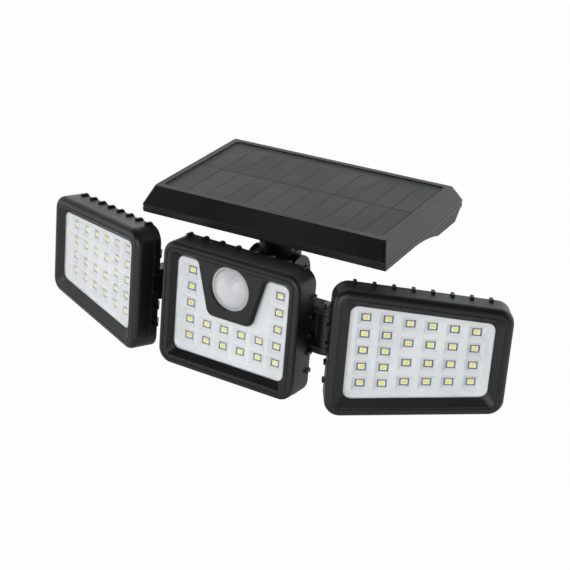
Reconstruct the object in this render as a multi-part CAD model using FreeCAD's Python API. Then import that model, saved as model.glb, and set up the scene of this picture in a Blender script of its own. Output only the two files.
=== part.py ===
"""Solar motion sensor security light with three LED heads, on a wall bracket.

Frame: the origin is the middle of the wall plate's back face. +Y points into the wall,
-Y points out to the front, +X is to the right seen from the front and +Z is up.
All sizes are millimetres. The rest pose has the side heads swung outwards and the
solar panel turned and tilted a little, as a user would set them.
"""
import FreeCAD, Part
import math
import os
from FreeCAD import Placement, Rotation, Vector

# ---------------------------------------------------------------- driving sizes
# Heads: half sizes of the case outline, measured from the LED centre.
centre_half_width = 43.8
centre_half_height = 35.9
centre_drop = 0.3              # LED centre above the middle of the case
centre_window_half_width = 35.8
centre_window_half_height = 27.3
centre_rim_width = 5.6
side_half_length = 47.4
side_half_height = 32.9        # at the middle of the head's length
side_drop = 1.0
side_taper = 0.0757            # loss of half height per millimetre away from the hinge
side_window_half_length = 38.0
side_window_half_height = 23.6
side_window_drop = 0.3
side_rim_width = 5.3
case_corner_radius = 8.5
window_corner_radius = 4.2
least_corner_radius = 0.3      # on corners that would be sharp
cavity_corner_round = 2.0      # extra corner radius at the cavity's bottom

# Depths along the light's axis, from the LED plane (the LEDs' light-giving faces).
centre_bezel_rise = 8.2        # LED plane to the bezel's front
side_bezel_rise = 6.6
centre_cover_rise = 4.5        # LED plane to the clear cover's front
side_cover_rise = 3.9
parting_depth = 4.6            # LED plane to the joint of bezel and rear shell
shell_side_depth = 9.2         # LED plane to the end of the shell's side walls
shell_back_depth = 12.7        # LED plane to the shell's flat back
shell_back_inset = 7.0         # how far the shell draws in over its sloped back edge
case_wall = 2.4
cut_margin = 1.0               # how far a cutting form runs past the face it opens
centre_edge_round = 2.4
side_edge_round = 3.6
rim_groove_width = 0.6
rim_groove_depth = 0.4
rib_count = 8
rib_width = 1.8
rib_rise = 1.2
rib_reach = 9.0                # how far a rib runs in over the back
rib_side_length = 4.0          # how far it runs forward on the side
centre_rib_pitch = 10.6
side_rib_pitch = 10.3

# Cover, reflector, board and LEDs.
cover_thickness = 1.5
slip_fit = 0.4                 # play of the cover, boards and reflector in the case
reflector_inset = 4.4
reflector_floor_rise = 1.6
reflector_slope = 2.0
led_width = 3.5
led_height = 2.8
led_thickness = 0.8
led_hole_width = 5.3
led_hole_height = 4.4
led_cup_slope = 2.0            # how far a cup widens towards the front on each side
board_thickness = 1.2
board_inset = 8.2
gasket_width = 1.2
gasket_depth = 0.8
post_radius = 2.2

# LED layout.
centre_column_pitch = 11.3
centre_row_pitch = 9.65
led_columns = 6
side_column_pitch = 11.67
side_tall_half_height = 18.46  # outer rows of the two tall columns by the hinge
side_tall_fall = 0.438         # lost per column
side_short_half_height = 15.41
side_short_fall = 0.796

# Motion sensor in the centre head.
lens_height = 17.1             # lens centre above the LED centre
lens_radius = 11.6
lens_dome_rise = 5.2
lens_flange_radius = 13.3
lens_flange_thickness = 1.0
lens_wall = 0.8
lens_clearance = 0.9
island_rise = 6.9
island_top_half_width = 21.4
island_bottom_half_width = 12.9
island_bottom = -0.6
island_corner_radius = 4.5
leg_corner_radius = 4.0        # between the island and the top edge of the window
island_overlap = 0.1           # how far it sinks into the window's upper slope
island_slope = 1.3             # how far its edge spreads down to the cover
baffle_wall = 1.2
baffle_clearance = 0.5
sensor_radius = 4.6
sensor_height = 4.2
sensor_window = 2.6
sensor_window_share = 1.3      # its width over its height
sensor_window_depth = 0.3
sensor_rim_width = 0.5
sensor_rim_height = 0.6
control_board_depth = 7.0
control_board_half_width = 30.0
control_board_half_height = 26.0
control_board_thickness = 1.6
control_board_corner_radius = 2.0

# Screws that close the cases.
boss_radius = 2.6
boss_inset = 2.9               # from the case's inner wall to the screw axis
screw_radius = 1.25
screw_head_radius = 2.4
screw_head_height = 1.4
screw_play = 0.05
screw_end_gap = 1.0            # free hole beyond the screw's end
boss_overlap = 1.0             # how far a screw column runs into the sloped back

# Fold hinges of the side heads.
hinge_offset = 50.0            # centre head's middle to the hinge axis
hinge_depth = 15.0             # LED plane to the hinge axis
hinge_middle_height = 2.1
knuckle_radius = 5.6
knuckle_height = 26.5
ear_thickness = 4.0
ear_gap = 0.3
hinge_pin_radius = 1.6
hinge_pin_head_radius = 2.9
hinge_pin_head_height = 1.4
running_clearance = 0.05
side_head_offset = 46.73       # hinge axis to the side head's LED centre
side_head_advance = 20.55      # hinge axis to the side head's LED plane
web_width = 9.0

# Rear housing behind the centre head.
housing_half_width = 15.0
housing_top = 14.0
housing_bottom = -26.0
housing_back_depth = 36.0
housing_wall = 2.2
housing_corner_radius = 3.0
tilt_axis_height = 16.5        # panel tilt axis above the LED centre
tilt_axis_depth = 41.0
cheek_radius = 11.0
cheek_thickness = 5.0
tongue_radius = 9.5
tongue_side_clearance = 0.3
tongue_clearance = 0.6
tilt_bolt_radius = 2.5
bolt_head_radius = 4.4
bolt_head_height = 2.8
nut_height = 3.6

# On/off button under the rear housing.
button_radius = 5.0
button_stand_out = 2.2
button_travel = 1.5
button_length = 8.0
button_clearance = 0.3
button_flange_width = 1.2
button_flange_thickness = 1.2
switch_size = 12.0
switch_height = 9.0
switch_gap = 0.4

# Neck between the rear housing and the panel.
neck_waist_radius = 9.5
neck_waist_top = 11.4          # above the tilt axis
neck_flare_radius = 17.3
neck_flare_steps = 7
neck_rim_thickness = 0.9
turret_gap = 0.3
spigot_radius = 8.0
spigot_clearance = 0.05
turn_washer_radius = 10.5
turn_washer_thickness = 1.2
turn_screw_radius = 2.0
turn_screw_head_radius = 4.0
turn_screw_head_height = 2.4
turn_screw_length = 8.5
turn_screw_bite = 0.25         # how much its hole and core are under the screw's radius

# Solar panel. Heights are from its top face down.
panel_top_height = 39.0        # tilt axis to the panel's top face
panel_set_back = 30.1          # neck axis to the panel's middle
panel_width = 142.8
panel_depth = 89.6
panel_corner_radius = 1.5
skirt_corner_radius = 2.0
frame_rim = 3.6
frame_ledge = 2.5              # width of the ledge under the panel's layers
frame_ledge_thickness = 2.0
recess_corner_radius = 3.0
ledge_corner_radius = 1.5
bevel_side = 3.7
bevel_front = 7.5
bevel_drop = 9.25
skirt_drop = 4.5
sheet_recess = 0.5
sheet_thickness = 1.0
cell_thickness = 0.3
backing_thickness = 1.2
cell_columns = 11
cell_rows = 2
cell_gap = 0.7
cell_row_gap = 1.6
cell_border = 2.2
panel_wall = 2.2
beam_bottom = 20.2             # top face to the bottom of the battery beam
beam_width = 23.9
beam_back_margin = 1.6         # beam's back edge to the panel's top edge
scoop_bow = 1.5                # how far the scoop's middle stays above its end
lower_shell_inset = 0.3
battery_radius = 6.9
battery_length = 49.0
battery_gap = 1.2
battery_wrap = 0.15
panel_post_radius = 2.6
panel_post_inset = 2.9
turret_wall = 4.0
turret_height = 6.0

# Wall bracket.
led_to_wall = 151.0            # LED plane to the wall
led_above_plate = 59.0         # LED centre above the plate's middle
plate_half_width = 38.0
plate_half_height = 14.0
plate_thickness = 4.0
plate_corner_radius = 6.0
wall_hole_spacing = 56.0
wall_hole_radius = 2.6
bracket_axis_height = -14.0    # bracket pivot against the LED centre
bracket_axis_depth = 46.0
lug_radius = 8.0
lug_half_width = 6.0
fork_thickness = 4.5
fork_radius = 8.5
fork_side_clearance = 0.3
fork_root_clearance = 2.4
arm_half_width = 7.0
arm_half_height = 6.0
arm_corner_radius = 2.5
arm_flare = 3.0                # taller at the plate by this on each side

# Rest pose.
right_yaw = 33.7
left_yaw = 22.1
panel_turn = 3.87
panel_tilt = 5.02

# ---------------------------------------------------------------- derived sizes
X_AXIS = Vector(1, 0, 0)
Y_AXIS = Vector(0, 1, 0)
Z_AXIS = Vector(0, 0, 1)
board_depth = led_thickness
centre_place = Vector(0, -led_to_wall, led_above_plate)
hinge_bottom = hinge_middle_height - knuckle_height / 2
hinge_top = hinge_middle_height + knuckle_height / 2
barrel_bottom = hinge_bottom + ear_thickness + ear_gap
barrel_top = hinge_top - ear_thickness - ear_gap
cheek_gap_half = housing_half_width - cheek_thickness
tilt_axis = Vector(0, tilt_axis_depth, tilt_axis_height)
bracket_axis = Vector(0, bracket_axis_depth, bracket_axis_height)
button_depth = (housing_back_depth - housing_wall - button_radius - button_flange_width
                - button_clearance)
beam_back = panel_depth / 2 - beam_back_margin
beam_front = beam_back - beam_width
scoop_start = neck_flare_radius + turret_gap


# ---------------------------------------------------------------- plain forms
def rounded_loop(points, radii, depth):
    """Closed wire in the plane y = depth through convex corners, each with its own radius."""
    count = len(points)
    if not isinstance(radii, (list, tuple)):
        radii = [radii] * count
    corners = []
    for index in range(count):
        here = Vector(points[index][0], depth, points[index][1])
        before = Vector(points[index - 1][0], depth, points[index - 1][1])
        after = Vector(points[(index + 1) % count][0], depth, points[(index + 1) % count][1])
        to_before = (before - here).normalize()
        to_after = (after - here).normalize()
        half_angle = to_before.getAngle(to_after) / 2
        radius = max(radii[index], least_corner_radius)
        setback = radius / math.tan(half_angle)
        start = here + to_before * setback
        end = here + to_after * setback
        bisector = (to_before + to_after).normalize()
        middle = here + bisector * (radius / math.sin(half_angle) - radius)
        corners.append((start, middle, end))
    edges = []
    for index in range(count):
        start, middle, end = corners[index]
        edges.append(Part.Arc(start, middle, end).toShape())
        edges.append(Part.makeLine(end, corners[(index + 1) % count][0]))
    return Part.Wire(edges)


def slab(points, radii, near, far):
    """Prism along Y between two depths."""
    face = Part.Face(rounded_loop(points, radii, near))
    return face.extrude(Vector(0, far - near, 0))


def taper(near_loop, far_loop):
    """Solid between two loops of the same make."""
    return Part.makeLoft([near_loop, far_loop], True, True)


def box(x_range, y_range, z_range):
    """Block between pairs of limits."""
    size = [limits[1] - limits[0] for limits in (x_range, y_range, z_range)]
    return Part.makeBox(*size, Vector(x_range[0], y_range[0], z_range[0]))


def rod(radius, start, direction, length):
    """Round bar from a point along a direction."""
    return Part.makeCylinder(radius, length, start, direction)


def rod_y(radius, x, z, near, far):
    """Round bar along Y."""
    return rod(radius, Vector(x, near, z), Y_AXIS, far - near)


def revolve(profile):
    """Solid turned about Z from (radius, height) points that start and end on the axis."""
    points = [Vector(radius, 0, height) for radius, height in profile]
    wire = Part.makePolygon(points + [points[0]])
    return Part.Face(wire).revolve(Vector(0, 0, 0), Z_AXIS, 360)


def fuse_all(shapes):
    """One shape from several that touch."""
    if len(shapes) == 1:
        return shapes[0]
    return shapes[0].multiFuse(shapes[1:]).removeSplitter()


def save(node, shape):
    """Write one node; a group of separate solids stays a group."""
    if shape.ShapeType not in ("Solid", "Compound"):
        shape = Part.makeCompound(shape.Solids)
    if len(shape.Solids) == 1:
        shape = shape.Solids[0]
    if not shape.isValid():
        print("not valid:", node)
    shape.exportStep("parts/" + node + ".step")


# ---------------------------------------------------------------- lamp heads
class Head:
    """Outline and LED layout of one lamp head, in its own frame.

    The LED plane is y = 0, the front is -Y, and the LED centre is at x = middle, z = 0.
    """

    def __init__(self, middle, half_length, half_height, slope, drop, rim, window, front):
        self.middle = middle
        self.half_length = half_length
        self.half_height = half_height
        self.slope = slope
        self.drop = drop
        self.rim = rim
        self.window = window
        self.bezel_rise, self.edge_round, self.cover_rise = front
        self.cover_back = cover_thickness - self.cover_rise

    def outline(self, inset, half_length=None, half_height=None, drop=None):
        """Corner points of the case outline, drawn in by inset."""
        half_length = self.half_length if half_length is None else half_length
        half_height = self.half_height if half_height is None else half_height
        drop = self.drop if drop is None else drop
        side_inset = inset * math.sqrt(1 + self.slope ** 2)
        left = self.middle - half_length + inset
        right = self.middle + half_length - inset
        tall = half_height - self.slope * (left - self.middle) - side_inset
        low = half_height - self.slope * (right - self.middle) - side_inset
        return [(left, -tall - drop), (right, -low - drop), (right, low - drop),
                (left, tall - drop)]

    def window_outline(self):
        """Corner points of the window."""
        return self.outline(0, *self.window)

    def radius(self, inset):
        """Corner radius at an inset from the case outline."""
        return case_corner_radius - inset

    def bosses(self):
        """Screw axes (x, z) in the four corners."""
        return self.outline(case_wall + boss_inset)


def centre_head():
    return Head(0.0, centre_half_width, centre_half_height, 0.0, centre_drop, centre_rim_width,
                (centre_window_half_width, centre_window_half_height, 0.0),
                (centre_bezel_rise, centre_edge_round, centre_cover_rise))


def side_head():
    return Head(side_head_offset, side_half_length, side_half_height, side_taper, side_drop,
                side_rim_width,
                (side_window_half_length, side_window_half_height, side_window_drop),
                (side_bezel_rise, side_edge_round, side_cover_rise))


def centre_led_places():
    """LED centres (x, z): full rows at the bottom, outer columns only beside the sensor."""
    places = []
    for row in range(5):
        for column in range(led_columns):
            if row < 3 and 0 < column < led_columns - 1:
                continue
            x = (column - (led_columns - 1) / 2) * centre_column_pitch
            places.append((x, (2 - row) * centre_row_pitch))
    return places


def side_led_places():
    """LED centres (x, z): two columns of five by the hinge, then four columns of four."""
    places = []
    for column in range(led_columns):
        x = side_head_offset + (column - (led_columns - 1) / 2) * side_column_pitch
        if column < 2:
            rows = 5
            half = side_tall_half_height - side_tall_fall * (column - 0.5)
        else:
            rows = 4
            half = side_short_half_height - side_short_fall * (column - 3.5)
        for row in range(rows):
            places.append((x, half - 2 * half * row / (rows - 1)))
    return places


def make_bezel(head):
    """Front frame: rounded outer wall, flat rim with a fine groove, slope to the window."""
    body = slab(head.outline(0), head.radius(0), -head.bezel_rise, parting_depth)
    front_edges = [edge for edge in body.Edges
                   if all(abs(vertex.Y + head.bezel_rise) < 1e-6 for vertex in edge.Vertexes)]
    body = body.makeFillet(head.edge_round, front_edges)
    pocket = slab(head.outline(case_wall), head.radius(case_wall), -head.cover_rise, parting_depth)
    window = taper(
        rounded_loop(head.outline(head.rim), head.radius(head.rim), -head.bezel_rise),
        rounded_loop(head.window_outline(), window_corner_radius, -head.cover_rise))
    groove_inset = head.edge_round + rim_groove_width
    groove_end = -head.bezel_rise + rim_groove_depth
    groove = slab(head.outline(groove_inset), head.radius(groove_inset),
                  -head.bezel_rise, groove_end)
    inner = groove_inset + rim_groove_width
    groove = groove.cut(slab(head.outline(inner), head.radius(inner), -head.bezel_rise, groove_end))
    body = body.cut(pocket).cut(window).cut(groove)
    bosses = [rod_y(boss_radius, x, z, board_depth, parting_depth) for x, z in head.bosses()]
    body = fuse_all([body] + bosses)
    for x, z in head.bosses():
        body = body.cut(rod_y(screw_radius + screw_play, x, z, board_depth, parting_depth))
    return body


def make_cover(head):
    """Clear flat cover behind the bezel's ledge."""
    inset = case_wall + slip_fit
    return slab(head.outline(inset), head.radius(inset), -head.cover_rise, head.cover_back)


def square_loop(x, z, half_width, half_height, depth):
    """Sharp-cornered rectangle in the plane y = depth."""
    corners = [(x - half_width, z - half_height), (x + half_width, z - half_height),
               (x + half_width, z + half_height), (x - half_width, z + half_height)]
    return Part.makePolygon([Vector(a, depth, b) for a, b in corners + corners[:1]])


def led_cup(x, z):
    """Sloped mouth over one LED and the straight hole below it, down to the board."""
    half_w = led_hole_width / 2
    half_h = led_hole_height / 2
    mouth = taper(square_loop(x, z, half_w + led_cup_slope, half_h + led_cup_slope,
                              -reflector_floor_rise), square_loop(x, z, half_w, half_h, 0))
    hole = box((x - half_w, x + half_w), (0, board_depth), (z - half_h, z + half_h))
    return mouth.fuse(hole)


def make_reflector(head, places):
    """White tray with a sloped border and a square pocket for each LED."""
    tray = slab(head.outline(reflector_inset), head.radius(reflector_inset),
                head.cover_back, board_depth)
    length, height, drop = head.window
    floor_loop = head.outline(0, length - reflector_slope, height - reflector_slope, drop)
    dish = taper(
        rounded_loop(head.window_outline(), window_corner_radius, head.cover_back),
        rounded_loop(floor_loop, window_corner_radius - reflector_slope / 2, -reflector_floor_rise))
    tray = tray.cut(dish)
    return tray.cut(Part.makeCompound([led_cup(x, z) for x, z in places]))


def make_board(head):
    """LED board behind the reflector."""
    return slab(head.outline(board_inset), head.radius(board_inset),
                board_depth, board_depth + board_thickness)


def make_leds(places):
    """Surface-mount LEDs on the board, each a separate solid."""
    return Part.makeCompound([
        box((x - led_width / 2, x + led_width / 2), (0, led_thickness),
            (z - led_height / 2, z + led_height / 2)) for x, z in places])


def shell_form(head, grow):
    """Outer form of a rear shell, grown by grow on its sides and back."""
    side = slab(head.outline(-grow), head.radius(-grow), parting_depth, shell_side_depth)
    back = taper(
        rounded_loop(head.outline(-grow), head.radius(-grow), shell_side_depth),
        rounded_loop(head.outline(shell_back_inset - grow), head.radius(shell_back_inset - grow),
                     shell_back_depth + grow))
    return side.fuse(back)


def make_ribs(head, pitch):
    """Short stiffening ribs that fold over the back edge, on all four sides."""
    form = shell_form(head, rib_rise)
    half = rib_width / 2
    near = shell_side_depth - rib_side_length
    far = shell_back_depth + 2 * rib_rise
    blocks = []
    for index in range(rib_count):
        x = head.middle + (index - (rib_count - 1) / 2) * pitch
        edge = head.half_height - head.slope * (x - head.middle)
        for side in (-1, 1):
            limits = sorted((side * (edge - rib_reach), side * (edge + 2 * rib_rise)))
            limits = [limit - head.drop for limit in limits]
            blocks.append(box((x - half, x + half), (near, far), limits))
    side_count = 2 * int((head.half_height - case_corner_radius) / pitch) + 1
    for index in range(side_count):
        z = (index - (side_count - 1) / 2) * pitch - head.drop
        for side in (-1, 1):
            edge = head.middle + side * head.half_length
            limits = sorted((edge - side * rib_reach, edge + side * 2 * rib_rise))
            blocks.append(box(limits, (near, far), (z - half, z + half)))
    return [form.common(block) for block in blocks]


def make_rear_shell(head, pitch, additions, posts):
    """Ribbed rear shell with its additions outside, posts inside and screw holes."""
    body = fuse_all([shell_form(head, 0)] + make_ribs(head, pitch) + additions)
    cavity_end = shell_back_depth - case_wall
    cavity = slab(head.outline(case_wall), head.radius(case_wall), parting_depth,
                  shell_side_depth - case_wall / 2)
    deep = taper(
        rounded_loop(head.outline(case_wall), head.radius(case_wall),
                     shell_side_depth - case_wall / 2),
        rounded_loop(head.outline(shell_back_inset + case_wall),
                     head.radius(shell_back_inset + case_wall) + cavity_corner_round,
                     cavity_end))
    body = body.cut(cavity.fuse(deep))
    columns = [rod_y(boss_radius, x, z, parting_depth, shell_side_depth + boss_overlap)
               for x, z in head.bosses()]
    body = fuse_all([body] + columns + posts)
    for x, z in head.bosses():
        body = body.cut(rod_y(screw_radius + screw_play, x, z, 0, shell_back_depth * 2))
        body = body.cut(rod_y(screw_head_radius + slip_fit, x, z,
                              shell_side_depth - screw_head_height, shell_back_depth * 2))
    ring = slab(head.outline((case_wall - gasket_width) / 2),
                head.radius((case_wall - gasket_width) / 2),
                parting_depth, parting_depth + gasket_depth)
    inner_inset = (case_wall + gasket_width) / 2
    ring = ring.cut(slab(head.outline(inner_inset), head.radius(inner_inset),
                         parting_depth, parting_depth + gasket_depth))
    return body.cut(ring), ring


def make_screws(head):
    """Four case screws, put in from the back."""
    screws = []
    for x, z in head.bosses():
        seat = shell_side_depth - screw_head_height
        shank = rod_y(screw_radius, x, z, board_depth + screw_end_gap, seat)
        cap = rod_y(screw_head_radius, x, z, seat, seat + screw_head_height)
        screws.append(shank.fuse(cap).removeSplitter())
    return Part.makeCompound(screws)


# ---------------------------------------------------------------- fold hinges
def hinge_ear(side, bottom):
    """One ear of the fold hinge on the centre head, from the given height up."""
    axis_x = side * hinge_offset
    disc = rod(knuckle_radius, Vector(axis_x, hinge_depth, bottom), Z_AXIS, ear_thickness)
    root = side * (centre_half_width - shell_back_inset - case_wall)
    web = box(sorted((root, axis_x)),
              (hinge_depth - knuckle_radius, hinge_depth + knuckle_radius),
              (bottom, bottom + ear_thickness))
    return disc.fuse(web)


def hinge_rib(side):
    """Upright web that ties the two ears to the back of the centre shell."""
    root = side * (centre_half_width - shell_back_inset - case_wall)
    face = side * (hinge_offset - knuckle_radius - 2 * ear_gap)
    return box(sorted((root, face)),
               (hinge_depth - knuckle_radius, hinge_depth + knuckle_radius),
               (hinge_bottom, hinge_top))


def hinge_additions():
    """Both sides' ears and webs."""
    shapes = []
    for side in (-1, 1):
        shapes.append(hinge_rib(side))
        shapes.append(hinge_ear(side, hinge_bottom))
        shapes.append(hinge_ear(side, hinge_top - ear_thickness))
    return shapes


def hinge_hole(axis_x):
    """Pin hole through ears and barrel."""
    return rod(hinge_pin_radius + running_clearance,
               Vector(axis_x, hinge_depth, hinge_bottom - cut_margin), Z_AXIS,
               knuckle_height + 2 * cut_margin)


def make_hinge_pin(side):
    """Headed pin, dropped in from the top ear."""
    axis_x = side * hinge_offset
    shank = rod(hinge_pin_radius, Vector(axis_x, hinge_depth, hinge_bottom), Z_AXIS,
                knuckle_height)
    cap = rod(hinge_pin_head_radius, Vector(axis_x, hinge_depth, hinge_top), Z_AXIS,
              hinge_pin_head_height)
    return shank.fuse(cap).removeSplitter()


def side_hinge_barrel():
    """Barrel of the fold hinge, in the side head's frame with the hinge axis at x = 0."""
    axis_y = side_head_advance
    barrel = rod(knuckle_radius, Vector(0, axis_y, barrel_bottom), Z_AXIS,
                 barrel_top - barrel_bottom)
    web = box((0, web_width), (shell_side_depth - case_wall, axis_y + knuckle_radius / 2),
              (barrel_bottom, barrel_top))
    return [barrel, web]


# ---------------------------------------------------------------- centre head
def lens_axis_rod(radius, near, far):
    """Round bar along the motion sensor's axis."""
    return rod_y(radius, 0, lens_height, near, far)


def make_centre_bezel(head):
    """Bezel with the tapered island that carries the motion sensor lens."""
    body = make_bezel(head)
    top = centre_half_height - centre_drop - centre_rim_width
    slope = (top - centre_window_half_height) / (centre_bezel_rise - centre_cover_rise)
    loops = []
    for spread, depth in ((0, -island_rise), (island_slope, -centre_cover_rise)):
        low = island_bottom_half_width + spread
        high = island_top_half_width + spread
        foot = island_bottom - spread
        eaves = centre_window_half_height - slope * (depth + centre_cover_rise) + island_overlap
        neck = low + (high - low) * (eaves - foot) / (top - foot)
        reach = neck + 2 * leg_corner_radius
        points = [(-low, foot), (low, foot), (neck, eaves), (reach, eaves), (reach, top),
                  (-reach, top), (-reach, eaves), (-neck, eaves)]
        corner = island_corner_radius + spread
        radii = [corner, corner, leg_corner_radius, 0, 0, 0, 0, leg_corner_radius]
        loops.append(rounded_loop(points, radii, depth))
    island = taper(*loops)
    body = fuse_all([body, island])
    return body.cut(lens_axis_rod(lens_radius + lens_clearance, -2 * centre_bezel_rise,
                                  -centre_cover_rise))


def make_lens():
    """Shallow dome with a flange behind the island."""
    sphere = (lens_radius ** 2 + lens_dome_rise ** 2) / (2 * lens_dome_rise)
    centre = Vector(0, -centre_cover_rise - lens_dome_rise + sphere, lens_height)
    dome = Part.makeSphere(sphere, centre).cut(Part.makeSphere(sphere - lens_wall, centre))
    dome = dome.common(lens_axis_rod(lens_radius, -centre_cover_rise - 2 * lens_dome_rise,
                                     -centre_cover_rise))
    flange_back = -centre_cover_rise + lens_flange_thickness
    flange = lens_axis_rod(lens_flange_radius, -centre_cover_rise, flange_back)
    flange = flange.cut(lens_axis_rod(lens_radius - 2 * lens_wall, -centre_cover_rise, flange_back))
    return fuse_all([flange, dome])


def make_baffle():
    """Dark tube that keeps LED light away from the sensor."""
    outer = lens_flange_radius - baffle_clearance
    near = -centre_cover_rise + lens_flange_thickness
    tube = lens_axis_rod(outer, near, control_board_depth)
    return tube.cut(lens_axis_rod(outer - baffle_wall, near, control_board_depth))


def make_sensor():
    """Metal can sensor with its rectangular filter window."""
    near = control_board_depth - sensor_height
    can = lens_axis_rod(sensor_radius, near, control_board_depth)
    rim = lens_axis_rod(sensor_radius + sensor_rim_width,
                        control_board_depth - sensor_rim_height, control_board_depth)
    half = sensor_window / 2
    notch = box((-half * sensor_window_share, half * sensor_window_share),
                (near, near + sensor_window_depth),
                (lens_height - half, lens_height + half))
    return can.fuse(rim).removeSplitter().cut(notch)


def make_control_board():
    """Board with the sensor electronics."""
    half_w = control_board_half_width
    half_h = control_board_half_height
    points = [(-half_w, -half_h), (half_w, -half_h), (half_w, half_h), (-half_w, half_h)]
    return slab(points, control_board_corner_radius, control_board_depth,
                control_board_depth + control_board_thickness)


def build_centre_head():
    """All nodes of the centre head, in its own frame."""
    head = centre_head()
    places = centre_led_places()
    opening = lens_axis_rod(lens_flange_radius + slip_fit, -centre_cover_rise, parting_depth)
    board_back = board_depth + board_thickness
    post_top = shell_back_depth - case_wall / 2
    posts = [rod_y(post_radius, x, z, board_back, post_top)
             for x in (-control_board_half_width - post_radius, control_board_half_width
                       + post_radius) for z in (-centre_row_pitch, centre_row_pitch)]
    board_back = control_board_depth + control_board_thickness
    posts += [rod_y(post_radius, x, z, board_back, post_top)
              for x in (-centre_column_pitch * 2, centre_column_pitch * 2)
              for z in (-2 * centre_row_pitch, 2 * centre_row_pitch)]
    shell, gasket = make_rear_shell(head, centre_rib_pitch, hinge_additions(), posts)
    for side in (-1, 1):
        shell = shell.cut(hinge_hole(side * hinge_offset))
    nodes = {
        "centre_bezel": make_centre_bezel(head),
        "centre_clear_cover": make_cover(head).cut(opening),
        "centre_reflector": make_reflector(head, places).cut(opening),
        "centre_led_board": make_board(head).cut(opening),
        "centre_leds": make_leds(places),
        "centre_gasket": gasket,
        "centre_rear_shell": shell,
        "centre_case_screws": make_screws(head),
        "pir_lens": make_lens(),
        "pir_baffle": make_baffle(),
        "pir_sensor": make_sensor(),
        "control_board": make_control_board(),
        "left_hinge_pin": make_hinge_pin(-1),
        "right_hinge_pin": make_hinge_pin(1),
    }
    nodes.update(build_rear_housing())
    return nodes


# ---------------------------------------------------------------- rear housing
def rod_x(radius, centre, half_length):
    """Round bar along X, centred on the middle plane."""
    return rod(radius, centre - X_AXIS * half_length, X_AXIS, 2 * half_length)


def make_rear_housing():
    """Box behind the shell with two cheeks for the neck above and a lug below."""
    half = housing_half_width
    points = [(-half, housing_bottom), (half, housing_bottom), (half, housing_top),
              (-half, housing_top)]
    body = slab(points, housing_corner_radius, shell_back_depth, housing_back_depth)
    cheeks = rod_x(cheek_radius, tilt_axis, half)
    bridge = box((-half, half), (shell_back_depth + 3 * rib_rise, tilt_axis_depth),
                 (tilt_axis_height - cheek_radius, tilt_axis_height))
    lug = rod_x(lug_radius, bracket_axis, lug_half_width)
    lug_web = box((-lug_half_width, lug_half_width),
                  (housing_back_depth - housing_wall, bracket_axis_depth),
                  (bracket_axis_height - lug_radius, bracket_axis_height + lug_radius))
    body = fuse_all([body, bridge, cheeks, lug_web, lug])
    inner = half - housing_wall
    hollow = box((-inner, inner), (shell_back_depth, housing_back_depth - housing_wall),
                 (housing_bottom + housing_wall, tilt_axis_height - cheek_radius - housing_wall))
    slot = rod_x(tongue_radius + tongue_clearance, tilt_axis, cheek_gap_half)
    slot_mouth = box((-cheek_gap_half, cheek_gap_half),
                     (tilt_axis_depth - tongue_radius - tongue_clearance,
                      tilt_axis_depth + 2 * cheek_radius),
                     (tilt_axis_height, tilt_axis_height + 2 * cheek_radius))
    slot_back = box((-cheek_gap_half, cheek_gap_half),
                    (tilt_axis_depth, tilt_axis_depth + 2 * cheek_radius),
                    (tilt_axis_height - cheek_radius, tilt_axis_height))
    body = body.cut(hollow).cut(slot).cut(slot_mouth).cut(slot_back)
    body = body.cut(rod_x(tilt_bolt_radius + running_clearance, tilt_axis, 2 * half))
    body = body.cut(rod_x(tilt_bolt_radius + running_clearance, bracket_axis, 2 * half))
    well = rod(button_radius + button_clearance, Vector(0, button_depth, housing_bottom - cut_margin),
               Z_AXIS, housing_wall + cut_margin)
    return body.cut(well)


def make_bolt(axis, half_span):
    """Cross bolt along X with a round head on the right."""
    shank = rod(tilt_bolt_radius, axis - X_AXIS * (half_span + nut_height), X_AXIS,
                2 * half_span + nut_height)
    cap = rod(bolt_head_radius, axis + X_AXIS * half_span, X_AXIS, bolt_head_height)
    return shank.fuse(cap).removeSplitter()


def make_nut(axis, half_span):
    """Hexagon nut on the left end of a cross bolt."""
    points = []
    for index in range(7):
        angle = math.radians(60 * index)
        points.append(axis + Vector(-half_span, bolt_head_radius * math.cos(angle),
                                    bolt_head_radius * math.sin(angle)))
    nut = Part.Face(Part.makePolygon(points)).extrude(Vector(-nut_height, 0, 0))
    return nut.cut(rod_x(tilt_bolt_radius + running_clearance, axis, 2 * half_span))


def make_button():
    """Rubber push button with an inner flange."""
    foot = housing_bottom - button_stand_out
    stem = rod(button_radius, Vector(0, button_depth, foot), Z_AXIS, button_length)
    flange_foot = housing_bottom + housing_wall + running_clearance
    flange = rod(button_radius + button_flange_width, Vector(0, button_depth, flange_foot),
                 Z_AXIS, button_flange_thickness)
    return stem.fuse(flange).removeSplitter()


def make_switch():
    """Latching switch body above the button, against the housing's back wall."""
    foot = housing_bottom - button_stand_out + button_length + button_travel + switch_gap
    back = housing_back_depth - housing_wall
    return box((-switch_size / 2, switch_size / 2), (back - switch_size, back),
               (foot, foot + switch_height))


def build_rear_housing():
    """Nodes of the rear housing, in the centre head's frame."""
    return {
        "rear_housing": make_rear_housing(),
        "panel_tilt_bolt": make_bolt(tilt_axis, housing_half_width),
        "panel_tilt_nut": make_nut(tilt_axis, housing_half_width),
        "power_button": make_button(),
        "power_switch": make_switch(),
    }


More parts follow.
